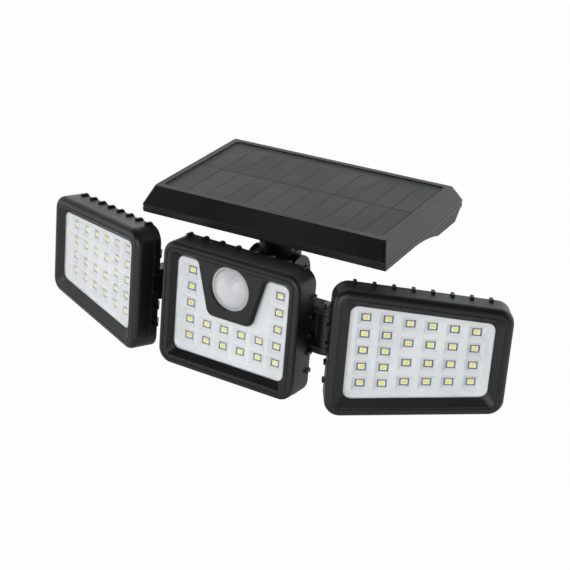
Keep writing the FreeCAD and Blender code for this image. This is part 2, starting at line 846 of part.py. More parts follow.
# ---------------------------------------------------------------- side heads
def build_side_head():
    """Nodes of a right-hand side head; the hinge axis is x = 0, y = side_head_advance."""
    head = side_head()
    places = side_led_places()
    board_back = board_depth + board_thickness
    post_top = shell_back_depth - case_wall / 2
    posts = [rod_y(post_radius, side_head_offset + x, z, board_back, post_top)
             for x in (-side_column_pitch * 2, side_column_pitch * 2)
             for z in (-side_column_pitch, side_column_pitch)]
    shell, gasket = make_rear_shell(head, side_rib_pitch, side_hinge_barrel(), posts)
    hole = rod(hinge_pin_radius + running_clearance,
               Vector(0, side_head_advance, hinge_bottom), Z_AXIS, knuckle_height)
    return {
        "bezel": make_bezel(head),
        "clear_cover": make_cover(head),
        "reflector": make_reflector(head, places),
        "led_board": make_board(head),
        "leds": make_leds(places),
        "gasket": gasket,
        "rear_shell": shell.cut(hole),
        "case_screws": make_screws(head),
    }


# ---------------------------------------------------------------- solar panel
def panel_points(half_width, half_depth):
    """Corner points of a plan rectangle as (x, height-plane y) pairs."""
    return [(-half_width, -half_depth), (half_width, -half_depth), (half_width, half_depth),
            (-half_width, half_depth)]


def plan_loop(half_width, half_depth, radius, height):
    """Rounded rectangle in a level plane, about the panel's middle."""
    loop = rounded_loop(panel_points(half_width, half_depth), radius, 0)
    loop.Placement = Placement(Vector(0, panel_set_back, height), Rotation(X_AXIS, -90))
    return loop


def plan_slab(half_width, half_depth, radius, bottom, top):
    """Level rounded plate."""
    face = Part.Face(plan_loop(half_width, half_depth, radius, bottom))
    return face.extrude(Vector(0, 0, top - bottom))


def frame_seat():
    """Height of the ledge that the panel's layers lie on."""
    return panel_top_height - sheet_recess - sheet_thickness - cell_thickness - backing_thickness


def make_panel_frame():
    """Sloped frame: its top rim holds the panel, its sides flare down to a short skirt."""
    half_w = panel_width / 2
    half_d = panel_depth / 2
    flare = taper(
        plan_loop(half_w, half_d, panel_corner_radius, panel_top_height),
        plan_loop(half_w + bevel_side, half_d + bevel_front, skirt_corner_radius,
                  panel_top_height - bevel_drop))
    skirt_bottom = panel_top_height - bevel_drop - skirt_drop
    skirt_top = panel_top_height - bevel_drop
    skirt = plan_slab(half_w + bevel_side, half_d + bevel_front, skirt_corner_radius,
                      skirt_bottom, skirt_top)
    body = fuse_all([flare, skirt])
    seat = frame_seat()
    recess = plan_slab(half_w - frame_rim, half_d - frame_rim, recess_corner_radius, seat,
                       panel_top_height)
    inner = frame_rim + frame_ledge
    light = plan_slab(half_w - inner, half_d - inner, ledge_corner_radius,
                      skirt_bottom, panel_top_height)
    share = (panel_top_height - seat + frame_ledge_thickness) / bevel_drop
    slope_wall = panel_wall * math.hypot(1, bevel_front / bevel_drop)
    low_w = half_w + bevel_side - panel_wall
    low_d = half_d + bevel_front - slope_wall
    hollow = taper(
        plan_loop(low_w - bevel_side * (1 - share), low_d - bevel_front * (1 - share),
                  panel_corner_radius, seat - frame_ledge_thickness),
        plan_loop(low_w, low_d, panel_corner_radius, skirt_top))
    hollow = hollow.fuse(plan_slab(low_w, low_d, panel_corner_radius, skirt_bottom, skirt_top))
    body = body.cut(recess).cut(light).cut(hollow)
    posts = [rod(panel_post_radius, Vector(x, y, skirt_bottom), Z_AXIS, top - skirt_bottom)
             for x, y, _, top in panel_screw_places()]
    body = fuse_all([body] + posts)
    for x, y, _, top in panel_screw_places():
        body = body.cut(rod(screw_radius + screw_play, Vector(x, y, skirt_bottom), Z_AXIS,
                            top - skirt_bottom))
    return body


def panel_layer(top, thickness):
    """One flat layer of the solar panel, seated in the frame's recess."""
    play = slip_fit / 2
    return plan_slab(panel_width / 2 - frame_rim - play, panel_depth / 2 - frame_rim - play,
                     recess_corner_radius - play, top - thickness, top)


def make_cells():
    """Solar cells in two rows of eleven strips, with dark gaps between them."""
    half_w = panel_width / 2 - frame_rim - cell_border
    half_d = panel_depth / 2 - frame_rim - cell_border
    pitch_x = (2 * half_w + cell_gap) / cell_columns
    pitch_y = (2 * half_d + cell_row_gap) / cell_rows
    top = panel_top_height - sheet_recess - sheet_thickness
    cells = []
    for column in range(cell_columns):
        for row in range(cell_rows):
            left = -half_w + column * pitch_x
            front = panel_set_back - half_d + row * pitch_y
            cells.append(box((left, left + pitch_x - cell_gap),
                             (front, front + pitch_y - cell_row_gap),
                             (top - cell_thickness, top)))
    return Part.makeCompound(cells)


def make_lower_shell():
    """Underside: shallow floor, a scooped run and the battery beam along the back."""
    half_w = panel_width / 2 + bevel_side - lower_shell_inset
    skirt_bottom = panel_top_height - bevel_drop - skirt_drop
    floor_bottom = skirt_bottom - panel_wall / 2
    front = panel_set_back - panel_depth / 2 - bevel_front + panel_wall
    back = panel_set_back + panel_depth / 2 + bevel_front - panel_wall
    beam_floor = panel_top_height - beam_bottom
    top = skirt_bottom
    outline = [
        Part.makeLine(Vector(-half_w, front, top), Vector(-half_w, front, floor_bottom)),
        Part.makeLine(Vector(-half_w, front, floor_bottom),
                      Vector(-half_w, scoop_start, floor_bottom)),
        Part.Arc(Vector(-half_w, scoop_start, floor_bottom),
                 Vector(-half_w, (scoop_start + panel_set_back + beam_front) / 2,
                        floor_bottom - scoop_bow),
                 Vector(-half_w, panel_set_back + beam_front, beam_floor)).toShape(),
        Part.makeLine(Vector(-half_w, panel_set_back + beam_front, beam_floor),
                      Vector(-half_w, panel_set_back + beam_back, beam_floor)),
        Part.makeLine(Vector(-half_w, panel_set_back + beam_back, beam_floor),
                      Vector(-half_w, back, top)),
        Part.makeLine(Vector(-half_w, back, top), Vector(-half_w, front, top)),
    ]
    body = Part.Face(Part.Wire(outline)).extrude(Vector(2 * half_w, 0, 0))
    axis = battery_axis()
    ends = battery_length + battery_gap
    groove = rod(battery_radius + battery_wrap, axis - X_AXIS * ends, X_AXIS, 2 * ends)
    body = body.cut(groove)
    turret = rod(spigot_radius + turret_wall, Vector(0, 0, floor_bottom), Z_AXIS, turret_height)
    body = fuse_all([body, turret])
    body = body.cut(rod(spigot_radius + spigot_clearance, Vector(0, 0, floor_bottom), Z_AXIS,
                        turret_height))
    for x, y, foot, top in panel_screw_places():
        body = body.cut(rod(screw_radius + screw_play, Vector(x, y, foot), Z_AXIS, top - foot))
    return body


def battery_axis():
    """Middle of the two cells, in the beam."""
    middle = panel_set_back + (beam_front + beam_back) / 2
    height = panel_top_height - beam_bottom + panel_wall + battery_radius
    return Vector(0, middle, height)


def make_batteries():
    """Two round cells end to end along the beam."""
    axis = battery_axis()
    cells = []
    for side in (-1, 1):
        start = axis + X_AXIS * (side * battery_gap / 2)
        can = rod(battery_radius, start, X_AXIS * side, battery_length)
        cells.append(can)
    return Part.makeCompound(cells)


def panel_screw_places():
    """Screw axes with the height of the head's seat and of the post's end."""
    x = panel_width / 2 - panel_post_inset
    y = panel_depth / 2 - panel_post_inset - panel_post_radius
    top = frame_seat() - frame_ledge_thickness
    floor_bottom = panel_top_height - bevel_drop - skirt_drop - panel_wall / 2
    places = []
    for side in (-1, 1):
        places.append((side * x, panel_set_back - y, floor_bottom, top))
        places.append((side * x, panel_set_back + y, panel_top_height - beam_bottom, top))
    return places


def make_panel_screws():
    """Screws from below, through the lower shell into the frame's posts."""
    screws = []
    for x, y, foot, top in panel_screw_places():
        shank = rod(screw_radius, Vector(x, y, foot), Z_AXIS, top - foot)
        cap = rod(screw_head_radius, Vector(x, y, foot - screw_head_height), Z_AXIS,
                  screw_head_height)
        screws.append(shank.fuse(cap).removeSplitter())
    return Part.makeCompound(screws)


def build_panel():
    """Nodes that turn with the solar panel; the origin is the tilt axis."""
    top = panel_top_height - sheet_recess
    return {
        "panel_frame": make_panel_frame(),
        "panel_clear_sheet": panel_layer(top, sheet_thickness),
        "solar_cells": make_cells(),
        "panel_backing_board": panel_layer(top - sheet_thickness - cell_thickness,
                                           backing_thickness),
        "panel_lower_shell": make_lower_shell(),
        "battery_cells": make_batteries(),
        "panel_screws": make_panel_screws(),
    }


# ---------------------------------------------------------------- neck
def trumpet(shoulder):
    """Hollow curve of the flare from the waist to the shoulder, as (radius, height) points."""
    points = []
    rise = shoulder - neck_rim_thickness - neck_waist_top
    for step in range(neck_flare_steps + 1):
        angle = math.pi / 2 * step / neck_flare_steps
        points.append((neck_flare_radius - (neck_flare_radius - neck_waist_radius)
                       * math.cos(angle), neck_waist_top + rise * math.sin(angle)))
    return points + [(neck_flare_radius, shoulder)]


def build_neck():
    """Nodes that tilt but don't turn; the origin is the tilt axis."""
    floor_bottom = panel_top_height - bevel_drop - skirt_drop - panel_wall / 2
    shoulder = floor_bottom - turret_gap
    tongue = rod(tongue_radius, Vector(-cheek_gap_half + tongue_side_clearance, 0, 0), X_AXIS,
                 2 * (cheek_gap_half - tongue_side_clearance))
    spigot_top = floor_bottom + turret_height + turret_gap
    cone = revolve([(0, 0), (neck_waist_radius, 0)] + trumpet(shoulder) +
                   [(spigot_radius, shoulder), (spigot_radius, spigot_top), (0, spigot_top)])
    waist = box((-cheek_gap_half + tongue_side_clearance, cheek_gap_half - tongue_side_clearance),
                (-tongue_radius, tongue_radius), (-tongue_radius, neck_waist_top))
    limit = rod(tongue_radius, Vector(-housing_half_width, 0, 0), X_AXIS, 2 * housing_half_width)
    lower = waist.common(limit.fuse(box((-housing_half_width, housing_half_width),
                                        (-neck_waist_radius, neck_waist_radius),
                                        (0, neck_waist_top))))
    body = fuse_all([tongue, cone, lower])
    body = body.cut(rod(tilt_bolt_radius + running_clearance, Vector(-housing_half_width, 0, 0),
                        X_AXIS, 2 * housing_half_width))
    body = body.cut(rod(turn_screw_radius - turn_screw_bite + screw_play,
                        Vector(0, 0, spigot_top - turn_screw_length - slip_fit), Z_AXIS,
                        turn_screw_length + slip_fit))
    washer = rod(turn_washer_radius, Vector(0, 0, spigot_top), Z_AXIS, turn_washer_thickness)
    washer = washer.cut(rod(turn_screw_radius + running_clearance, Vector(0, 0, spigot_top),
                            Z_AXIS, turn_washer_thickness))
    shank = rod(turn_screw_radius - turn_screw_bite, Vector(0, 0, spigot_top - turn_screw_length),
                Z_AXIS, turn_screw_length + turn_washer_thickness)
    cap = rod(turn_screw_head_radius, Vector(0, 0, spigot_top + turn_washer_thickness), Z_AXIS,
              turn_screw_head_height)
    return {
        "neck": body,
        "turn_washer": washer,
        "turn_screw": shank.fuse(cap).removeSplitter(),
    }


# ---------------------------------------------------------------- wall bracket
def make_bracket():
    """Wall plate, sloping arm and fork in one casting, in the part's frame."""
    pivot = centre_place + bracket_axis
    points = [(-plate_half_width, -plate_half_height), (plate_half_width, -plate_half_height),
              (plate_half_width, plate_half_height), (-plate_half_width, plate_half_height)]
    plate = slab(points, plate_corner_radius, -plate_thickness, 0)
    for side in (-1, 1):
        x = side * wall_hole_spacing / 2
        plate = plate.cut(rod_y(wall_hole_radius, x, 0, -plate_thickness, 0))
    fork_half = lug_half_width + fork_side_clearance + fork_thickness
    fork_root = pivot.y + lug_radius + fork_root_clearance
    reach = pivot.y - fork_root
    ears = rod(fork_radius, pivot - X_AXIS * fork_half, X_AXIS, 2 * fork_half)
    block = box((-fork_half, fork_half), (pivot.y, fork_root + fork_thickness),
                (pivot.z - fork_radius, pivot.z + fork_radius))
    gap_half = lug_half_width + fork_side_clearance
    gap = box((-gap_half, gap_half), (pivot.y - 2 * fork_radius, fork_root),
              (pivot.z - 2 * fork_radius, pivot.z + 2 * fork_radius))
    near = rounded_loop([(-arm_half_width, pivot.z - arm_half_height),
                         (arm_half_width, pivot.z - arm_half_height),
                         (arm_half_width, pivot.z + arm_half_height),
                         (-arm_half_width, pivot.z + arm_half_height)],
                        arm_corner_radius, fork_root + fork_thickness / 2)
    far = rounded_loop([(-arm_half_width, -arm_half_height - arm_flare),
                        (arm_half_width, -arm_half_height - arm_flare),
                        (arm_half_width, arm_half_height + arm_flare),
                        (-arm_half_width, arm_half_height + arm_flare)],
                       arm_corner_radius, -plate_thickness / 2)
    arm = taper(near, far)
    body = fuse_all([ears.fuse(block).cut(gap), arm, plate])
    return body.cut(rod(tilt_bolt_radius + running_clearance, pivot - X_AXIS * 2 * fork_half,
                        X_AXIS, 4 * fork_half))


def build_bracket():
    """Nodes of the fixed body."""
    pivot = centre_place + bracket_axis
    fork_half = lug_half_width + fork_side_clearance + fork_thickness
    return {
        "wall_bracket": make_bracket(),
        "bracket_bolt": make_bolt(pivot, fork_half),
        "bracket_nut": make_nut(pivot, fork_half),
    }


# ---------------------------------------------------------------- assembly
def place_all(nodes, placement, prefix=""):
    """Write every node at its place in the part's frame."""
    for name, shape in nodes.items():
        moved = shape.copy()
        moved.Placement = placement.multiply(moved.Placement)
        save(prefix + name, moved)


def mirror_nodes(nodes):
    """Left-hand copies of right-hand nodes."""
    return {name: shape.mirror(Vector(0, 0, 0), X_AXIS) for name, shape in nodes.items()}


def main():
    os.makedirs("parts", exist_ok=True)
    place_all(build_bracket(), Placement())
    place_all(build_centre_head(), Placement(centre_place, Rotation()))
    right = build_side_head()
    left = mirror_nodes(right)
    for side, yaw, nodes, prefix in ((1, right_yaw, right, "right_"),
                                     (-1, left_yaw, left, "left_")):
        hinge = centre_place + Vector(side * hinge_offset, hinge_depth, 0)
        swing = Placement(hinge, Rotation(Z_AXIS, side * yaw))
        own = Placement(Vector(0, -side_head_advance, 0), Rotation())
        place_all(nodes, swing.multiply(own), prefix)
    tilt = Placement(centre_place + tilt_axis, Rotation(X_AXIS, panel_tilt))
    turn = Placement(Vector(0, 0, 0), Rotation(Z_AXIS, panel_turn))
    place_all(build_neck(), tilt)
    place_all(build_panel(), tilt.multiply(turn))


main()
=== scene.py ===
"""Looks for a solar motion sensor security light with three LED heads.

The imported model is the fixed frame. Its nodes keep their shapes and get materials here. The LED
packages, the sensor's lens and the screws get finer pieces in place of the plain ones, and two
beads run round the panel's skirt. All lengths are metres, in the frame of the model: the origin
is the middle of the wall plate's back face, +Y points into the wall, +X to the right seen from
the front and +Z up.
"""

import logging
import math
from dataclasses import dataclass
from enum import Enum
from typing import Iterable, Sequence

import bpy
import numpy as np
from mathutils import Matrix, Vector

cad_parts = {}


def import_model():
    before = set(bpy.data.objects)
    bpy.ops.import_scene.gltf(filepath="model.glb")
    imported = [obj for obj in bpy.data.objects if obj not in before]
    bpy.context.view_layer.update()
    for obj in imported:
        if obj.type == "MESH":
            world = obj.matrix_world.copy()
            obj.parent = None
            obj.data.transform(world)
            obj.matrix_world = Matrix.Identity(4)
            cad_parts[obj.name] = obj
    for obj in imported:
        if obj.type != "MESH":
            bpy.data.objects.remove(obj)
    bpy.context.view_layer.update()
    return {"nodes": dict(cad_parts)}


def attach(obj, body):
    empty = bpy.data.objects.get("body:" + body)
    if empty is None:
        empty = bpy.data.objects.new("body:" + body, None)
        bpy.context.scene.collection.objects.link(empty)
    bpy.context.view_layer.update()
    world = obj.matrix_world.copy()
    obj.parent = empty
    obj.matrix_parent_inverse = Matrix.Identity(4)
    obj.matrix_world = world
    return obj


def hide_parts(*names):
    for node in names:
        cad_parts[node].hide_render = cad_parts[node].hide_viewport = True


LOG = logging.getLogger("security_light")
MM = 0.001
Colour = tuple[float, float, float]
Point = tuple[float, float, float]
Pair = tuple[float, float]
Socket = bpy.types.NodeSocket
Material = bpy.types.Material
Node = bpy.types.Node
Piece = bpy.types.Object


@dataclass(frozen=True)
class Layout:
    """Places and angles of the model that several pieces share."""

    wall_distance: float = 151.0 * MM
    led_height: float = 59.0 * MM
    hinge_offset: float = 50.0 * MM
    hinge_depth: float = 15.0 * MM
    right_yaw: float = math.radians(33.7)
    left_yaw: float = math.radians(22.1)
    tilt_axis_depth: float = 41.0 * MM
    tilt_axis_height: float = 16.5 * MM
    panel_tilt: float = math.radians(5.02)
    panel_turn: float = math.radians(3.87)

    def from_leds(self, x: float, depth: float, height: float) -> Point:
        """Point of the model that lies so far from the middle of the centre head's LEDs."""
        return x, depth - self.wall_distance, self.led_height + height


LAYOUT = Layout()


# ---------- node graphs
class NodeBench:
    """Builds one material's node graph on its object's own coordinates."""

    def __init__(self, name: str) -> None:
        """Start an empty material.

        Args:
            name: the material's name.
        """
        self.material = bpy.data.materials.new(name)
        self.material.use_nodes = True
        self.clear(self.material.node_tree, "ShaderNodeOutputMaterial")

    def clear(self, tree: bpy.types.NodeTree, output_kind: str) -> None:
        """Empty a node tree and give it an output and coordinates.

        Args:
            tree: the material's or the world's tree.
            output_kind: the output node's Blender type.
        """
        self.tree = tree
        self.tree.nodes.clear()
        self.output = self.add(output_kind)
        self.coords = self.add("ShaderNodeTexCoord")

    def add(self, kind: str, **settings: object) -> Node:
        """Add a node and set its plain properties.

        Args:
            kind: the node's Blender type.
            **settings: property names and their values.

        Returns:
            The new node.
        """
        node = self.tree.nodes.new(kind)
        for key, value in settings.items():
            setattr(node, key, value)
        return node

    def link(self, source: Socket, target: Socket) -> None:
        """Join an output socket to an input socket."""
        self.tree.links.new(source, target)

    def feed(self, node: Node, values: dict) -> Node:
        """Fill input sockets with plain values or with other nodes' outputs.

        Args:
            node: the node whose inputs are filled.
            values: socket name or index, to a value or an output socket.

        Returns:
            The same node.
        """
        for key, value in values.items():
            if isinstance(value, Socket):
                self.link(value, node.inputs[key])
            else:
                node.inputs[key].default_value = value
        return node

    def object_coords(self) -> Socket:
        """The surface point in the model's frame, in metres."""
        return self.coords.outputs["Object"]

    def noise(self, scale: float, detail: float = 2.0, rough: float = 0.5) -> Socket:
        """Noise value on the object's own coordinates.

        Args:
            scale: cells per metre.
            detail: octaves.
            rough: weight of the finer octaves.

        Returns:
            The noise's value from 0 to 1.
        """
        node = self.add("ShaderNodeTexNoise")
        self.feed(node, {"Vector": self.object_coords(), "Scale": scale, "Detail": detail,
                         "Roughness": rough})
        return node.outputs["Fac"]

    def cells(self, scale: float, feature: str = "F1") -> Socket:
        """Distance within the cells of a Voronoi pattern.

        Args:
            scale: cells per metre.
            feature: which distance is measured.

        Returns:
            The distance, in cells.
        """
        node = self.add("ShaderNodeTexVoronoi", feature=feature)
        self.feed(node, {"Vector": self.object_coords(), "Scale": scale})
        return node.outputs["Distance"]

    def two_tone(self, value: Socket, low: Colour, high: Colour, start: float = 0.3) -> Socket:
        """Colour that goes from low to high over the middle of a value's range.

        Args:
            value: the input from 0 to 1.
            low: colour up to the start.
            high: colour from 1 - start on.
            start: where the change begins.

        Returns:
            The colour.
        """
        node = self.add("ShaderNodeValToRGB")
        ends = ((start, low), (1.0 - start, high))
        for element, (place, colour) in zip(node.color_ramp.elements, ends):
            element.position = place
            element.color = (*colour, 1.0)
        self.link(value, node.inputs["Fac"])
        return node.outputs["Color"]

    def remap(self, value: Socket, low: float, high: float, start: float = 0.0,
              end: float = 1.0) -> Socket:
        """Value stretched from one range to another and held at its ends.

        Args:
            value: the input.
            low: result at the start.
            high: result at the end.
            start: the input's value that gives low.
            end: the input's value that gives high.

        Returns:
            The stretched value.
        """
        node = self.add("ShaderNodeMapRange", clamp=True)
        self.feed(node, {"Value": value, "From Min": start, "From Max": end,
                         "To Min": low, "To Max": high})
        return node.outputs["Result"]

    def math(self, operation: str, first: object, second: object) -> Socket:
        """One arithmetic step on sockets or numbers."""
        node = self.add("ShaderNodeMath", operation=operation)
        return self.feed(node, {0: first, 1: second}).outputs[0]

    def bump(self, height: Socket, distance: float, strength: float,
             normal: Socket | None = None) -> Socket:
        """Normal raised by a height.

        Args:
            height: the height pattern, 0 to 1.
            distance: what a height of 1 stands for, in metres.
            strength: share of the effect.
            normal: the normal to start from.

        Returns:
            The bumped normal.
        """
        node = self.add("ShaderNodeBump")
        self.feed(node, {"Height": height, "Distance": distance, "Strength": strength})
        if normal is not None:
            self.link(normal, node.inputs["Normal"])
        return node.outputs["Normal"]

    def flat_normal(self) -> Socket:
        """Normal of the bare face, with no shading across it."""
        return self.add("ShaderNodeNewGeometry").outputs["True Normal"]

    def back_faces(self) -> Socket:
        """1 where a face is seen from its inner side."""
        return self.add("ShaderNodeNewGeometry").outputs["Backfacing"]

    def soft_edges(self, radius: float) -> Socket:
        """Normal rounded over sharp edges, as a mould's small radii are."""
        node = self.add("ShaderNodeBevel", samples=6)
        return self.feed(node, {"Radius": radius}).outputs["Normal"]

    def ray_is(self, kind: str) -> Socket:
        """1 on rays of one kind, such as Camera or Glossy."""
        return self.add("ShaderNodeLightPath").outputs[f"Is {kind} Ray"]

    def in_view(self) -> Socket:
        """1 on rays from the camera, also where they pass clear plastic."""
        return self.math("MAXIMUM", self.ray_is("Camera"), self.ray_is("Transmission"))

    def blend(self, share: Socket, first: Node, second: Node) -> Node:
        """Mix two shaders, with the given share of the second."""
        node = self.add("ShaderNodeMixShader")
        return self.feed(node, {0: share, 1: first.outputs[0], 2: second.outputs[0]})

    def show(self, shader: Node) -> None:
        """Join a shader to the output."""
        self.link(shader.outputs[0], self.output.inputs["Surface"])

    def principled(self, values: dict) -> None:
        """Add the main shader, fill it and join it to the output."""
        self.show(self.feed(self.add("ShaderNodeBsdfPrincipled"), values))


class WorldBench(NodeBench):
    """Builds the world's node graph with the same tools."""

    def __init__(self, name: str) -> None:
        """Start an empty world and hand it to the scene.

        Args:
            name: the world's name.
        """
        world = bpy.data.worlds.new(name)
        world.use_nodes = True
        bpy.context.scene.world = world
        self.clear(world.node_tree, "ShaderNodeOutputWorld")


# ---------- finishes
@dataclass(frozen=True)
class MouldedBlack:
    """Satin black ABS with the fine sparked grain of its mould."""

    name: str = "moulded_black"
    low: Colour = (0.0052, 0.0055, 0.0056)
    high: Colour = (0.0078, 0.0082, 0.0083)
    roughness: Pair = (0.35, 0.47)
    cloud_per_metre: float = 38.0
    wear_per_metre: float = 14.0
    wear_range: Pair = (0.3, 0.7)
    grain_per_metre: float = 2600.0
    speck_per_metre: float = 1560.0
    speck_share: float = 0.3
    grain_height: float = 0.02 * MM
    grain_strength: float = 0.55
    edge_radius: float = 0.35 * MM
    ior: float = 1.5

    def build(self) -> Material:
        """Mix a fine grain and specks into one height, over a faint cloud of colour.

        Returns:
            The material.
        """
        bench = NodeBench(self.name)
        cloud = bench.noise(self.cloud_per_metre, detail=3.0)
        wear = bench.noise(self.wear_per_metre, detail=4.0)
        grain = bench.noise(self.grain_per_metre, detail=3.0, rough=0.6)
        speck = bench.cells(self.speck_per_metre)
        height = bench.math("ADD", bench.math("MULTIPLY", grain, 1.0 - self.speck_share),
                            bench.math("MULTIPLY", speck, self.speck_share))
        edges = bench.soft_edges(self.edge_radius)
        bench.principled({
            "Base Color": bench.two_tone(cloud, self.low, self.high), "IOR": self.ior,
            "Roughness": bench.remap(wear, *self.roughness, *self.wear_range),
            "Normal": bench.bump(height, self.grain_height, self.grain_strength, edges)})
        return bench.material


@dataclass(frozen=True)
class ClearSheet:
    """Clear plastic: it lets light through and shines at a glancing angle."""

    name: str
    tint: Colour = (0.97, 0.985, 0.99)
    roughness: Pair = (0.048, 0.09)
    scratches_per_metre: float = 900.0
    ripple_per_metre: float = 35.0
    ripple_height: float = 0.02 * MM
    ripple_strength: float = 0.4
    ior: float = 1.49

    def build(self) -> Material:
        """Bend light as clear plastic does, and let lamps shine straight through.

        Returns:
            The material.
        """
        bench = NodeBench(self.name)
        scratches = bench.noise(self.scratches_per_metre, detail=3.0)
        ripple = bench.noise(self.ripple_per_metre, detail=1.0)
        plastic = bench.feed(bench.add("ShaderNodeBsdfPrincipled"), {
            "Base Color": (*self.tint, 1.0), "IOR": self.ior, "Transmission Weight": 1.0,
            "Roughness": bench.remap(scratches, *self.roughness),
            "Normal": bench.bump(ripple, self.ripple_height, self.ripple_strength)})
        clear = bench.feed(bench.add("ShaderNodeBsdfTransparent"), {"Color": (*self.tint, 1.0)})
        bench.show(bench.blend(bench.ray_is("Shadow"), plastic, clear))
        return bench.material


@dataclass(frozen=True)
class SatinSheet:
    """Thin clear sheet with a satin face: it shines softly over what lies behind it.

    Only its outer face shines. The inner one is bonded to the cells.
    """

    name: str
    roughness: Pair = (0.40, 0.45)
    wear_per_metre: float = 30.0
    grain_per_metre: float = 2400.0
    grain_height: float = 0.012 * MM
    grain_strength: float = 0.5
    ior: float = 1.3

    def build(self) -> Material:
        """Mix a glossy face over a clear sheet by the angle it is seen at.

        Returns:
            The material.
        """
        bench = NodeBench(self.name)
        grain = bench.bump(bench.noise(self.grain_per_metre), self.grain_height,
                           self.grain_strength, bench.flat_normal())
        shine = bench.feed(bench.add("ShaderNodeBsdfGlossy"), {
            "Roughness": bench.remap(bench.noise(self.wear_per_metre), *self.roughness),
            "Normal": grain})
        fresnel = bench.feed(bench.add("ShaderNodeFresnel"), {"IOR": self.ior, "Normal": grain})
        outer = bench.math("SUBTRACT", 1.0, bench.back_faces())
        share = bench.math("MULTIPLY", fresnel.outputs[0], outer)
        bench.show(bench.blend(share, bench.add("ShaderNodeBsdfTransparent"), shine))
        return bench.material


@dataclass(frozen=True)
class Plastic:
    """Moulded or painted plastic: a cloud of two colours, a finer one of gloss, and a grain."""

    name: str
    low: Colour
    high: Colour
    roughness: Pair
    cloud_per_metre: float = 112.5
    cloud_detail: float = 2.0
    cloud_start: float = 0.3
    wear_per_metre: float = 225.0
    grain_per_metre: float = 900.0
    grain_detail: float = 3.0
    grain_height: float = 0.01 * MM
    grain_strength: float = 0.6
    edge_radius: float | None = None
    ior: float = 1.5
    glow: float = 0.0
    glow_radii: Colour = (0.6, 0.7, 0.8)
    glow_depth: float = 2.0 * MM

    def build(self) -> Material:
        """Give the plastic its clouds and grain, and a glow or soft edges where it has them.

        Returns:
            The material.
        """
        bench = NodeBench(self.name)
        cloud = bench.noise(self.cloud_per_metre, self.cloud_detail)
        grain = bench.noise(self.grain_per_metre, self.grain_detail)
        edges = bench.soft_edges(self.edge_radius) if self.edge_radius else None
        bench.principled({
            "Base Color": bench.two_tone(cloud, self.low, self.high, self.cloud_start),
            "Roughness": bench.remap(bench.noise(self.wear_per_metre), *self.roughness),
            "Subsurface Weight": self.glow, "Subsurface Radius": self.glow_radii,
            "Subsurface Scale": self.glow_depth, "IOR": self.ior,
            "Normal": bench.bump(grain, self.grain_height, self.grain_strength, edges)})
        return bench.material


@dataclass(frozen=True)
class SolderMask:
    """Lacquered circuit board with copper tracks under the lacquer."""

    name: str
    lacquer: Colour
    track: Colour
    roughness: Pair = (0.28, 0.4)
    wear_per_metre: float = 400.0
    track_pitch: float = 4.2 * MM
    track_edge: Pair = (0.10, 0.13)
    track_height: float = 0.03 * MM
    track_strength: float = 0.6

    def build(self) -> Material:
        """Raise wide tracks between the edges of a cell pattern.

        Returns:
            The material.
        """
        bench = NodeBench(self.name)
        edge = bench.cells(1.0 / self.track_pitch, "DISTANCE_TO_EDGE")
        mask = bench.remap(edge, 0.0, 1.0, *self.track_edge)
        bench.principled({
            "Base Color": bench.two_tone(mask, self.lacquer, self.track, start=0.0),
            "Roughness": bench.remap(bench.noise(self.wear_per_metre), *self.roughness),
            "Normal": bench.bump(mask, self.track_height, self.track_strength)})
        return bench.material


@dataclass(frozen=True)
class ZincSteel:
    """Zinc-plated steel with fine scratches and light tarnish."""

    name: str = "zinc_steel"
    dull: Colour = (0.44, 0.45, 0.46)
    bright: Colour = (0.62, 0.63, 0.64)
    roughness: Pair = (0.24, 0.42)
    tarnish_per_metre: float = 300.0
    scratches_per_metre: float = 2200.0
    scratch_height: float = 0.01 * MM
    scratch_strength: float = 0.5
    edge_radius: float = 0.2 * MM

    def build(self) -> Material:
        """Let the same scratches set height and gloss, over a cloud of tarnish.

        Returns:
            The material.
        """
        bench = NodeBench(self.name)
        tarnish = bench.noise(self.tarnish_per_metre, detail=4.0)
        scratches = bench.noise(self.scratches_per_metre)
        edges = bench.soft_edges(self.edge_radius)
        bench.principled({
            "Base Color": bench.two_tone(tarnish, self.dull, self.bright), "Metallic": 1.0,
            "Roughness": bench.remap(scratches, *self.roughness),
            "Normal": bench.bump(scratches, self.scratch_height, self.scratch_strength, edges)})
        return bench.material


@dataclass(frozen=True)
class SiliconCell:
    """Dark silicon with fine metal fingers across each strip."""

    name: str = "silicon_cell"
    low: Colour = (0.032, 0.033, 0.033)
    high: Colour = (0.038, 0.039, 0.039)
    roughness: Pair = (0.3, 0.42)
    cloud_per_metre: float = 45.0
    finger_colour: Colour = (0.06, 0.06, 0.06)
    finger_pitch: float = 1.6 * MM
    finger_width_share: float = 0.12
    finger_strength: float = 0.35
    ior: float = 1.12

    def build(self) -> Material:
        """Draw fingers at an even pitch, on coordinates turned back into the panel's plane.

        Returns:
            The material.
        """
        bench = NodeBench(self.name)
        plane = bench.feed(bench.add("ShaderNodeMapping", vector_type="POINT"), {
            "Vector": bench.object_coords(),
            "Rotation": (-LAYOUT.panel_tilt, 0.0, -LAYOUT.panel_turn)})
        axes = bench.feed(bench.add("ShaderNodeSeparateXYZ"), {0: plane.outputs[0]})
        lines = bench.math("PINGPONG", axes.outputs["Y"], self.finger_pitch / 2)
        finger = bench.remap(lines, 1.0, 0.0, 0.0, self.finger_pitch * self.finger_width_share)
        cloud = bench.noise(self.cloud_per_metre, detail=3.0)
        mix = bench.feed(bench.add("ShaderNodeMix", data_type="RGBA"), {
            0: bench.math("MULTIPLY", finger, self.finger_strength),
            6: bench.two_tone(cloud, self.low, self.high, start=0.35),
            7: (*self.finger_colour, 1.0)})
        bench.principled({
            "Base Color": mix.outputs[2], "Normal": bench.flat_normal(), "IOR": self.ior,
            "Roughness": bench.remap(cloud, *self.roughness)})
        return bench.material


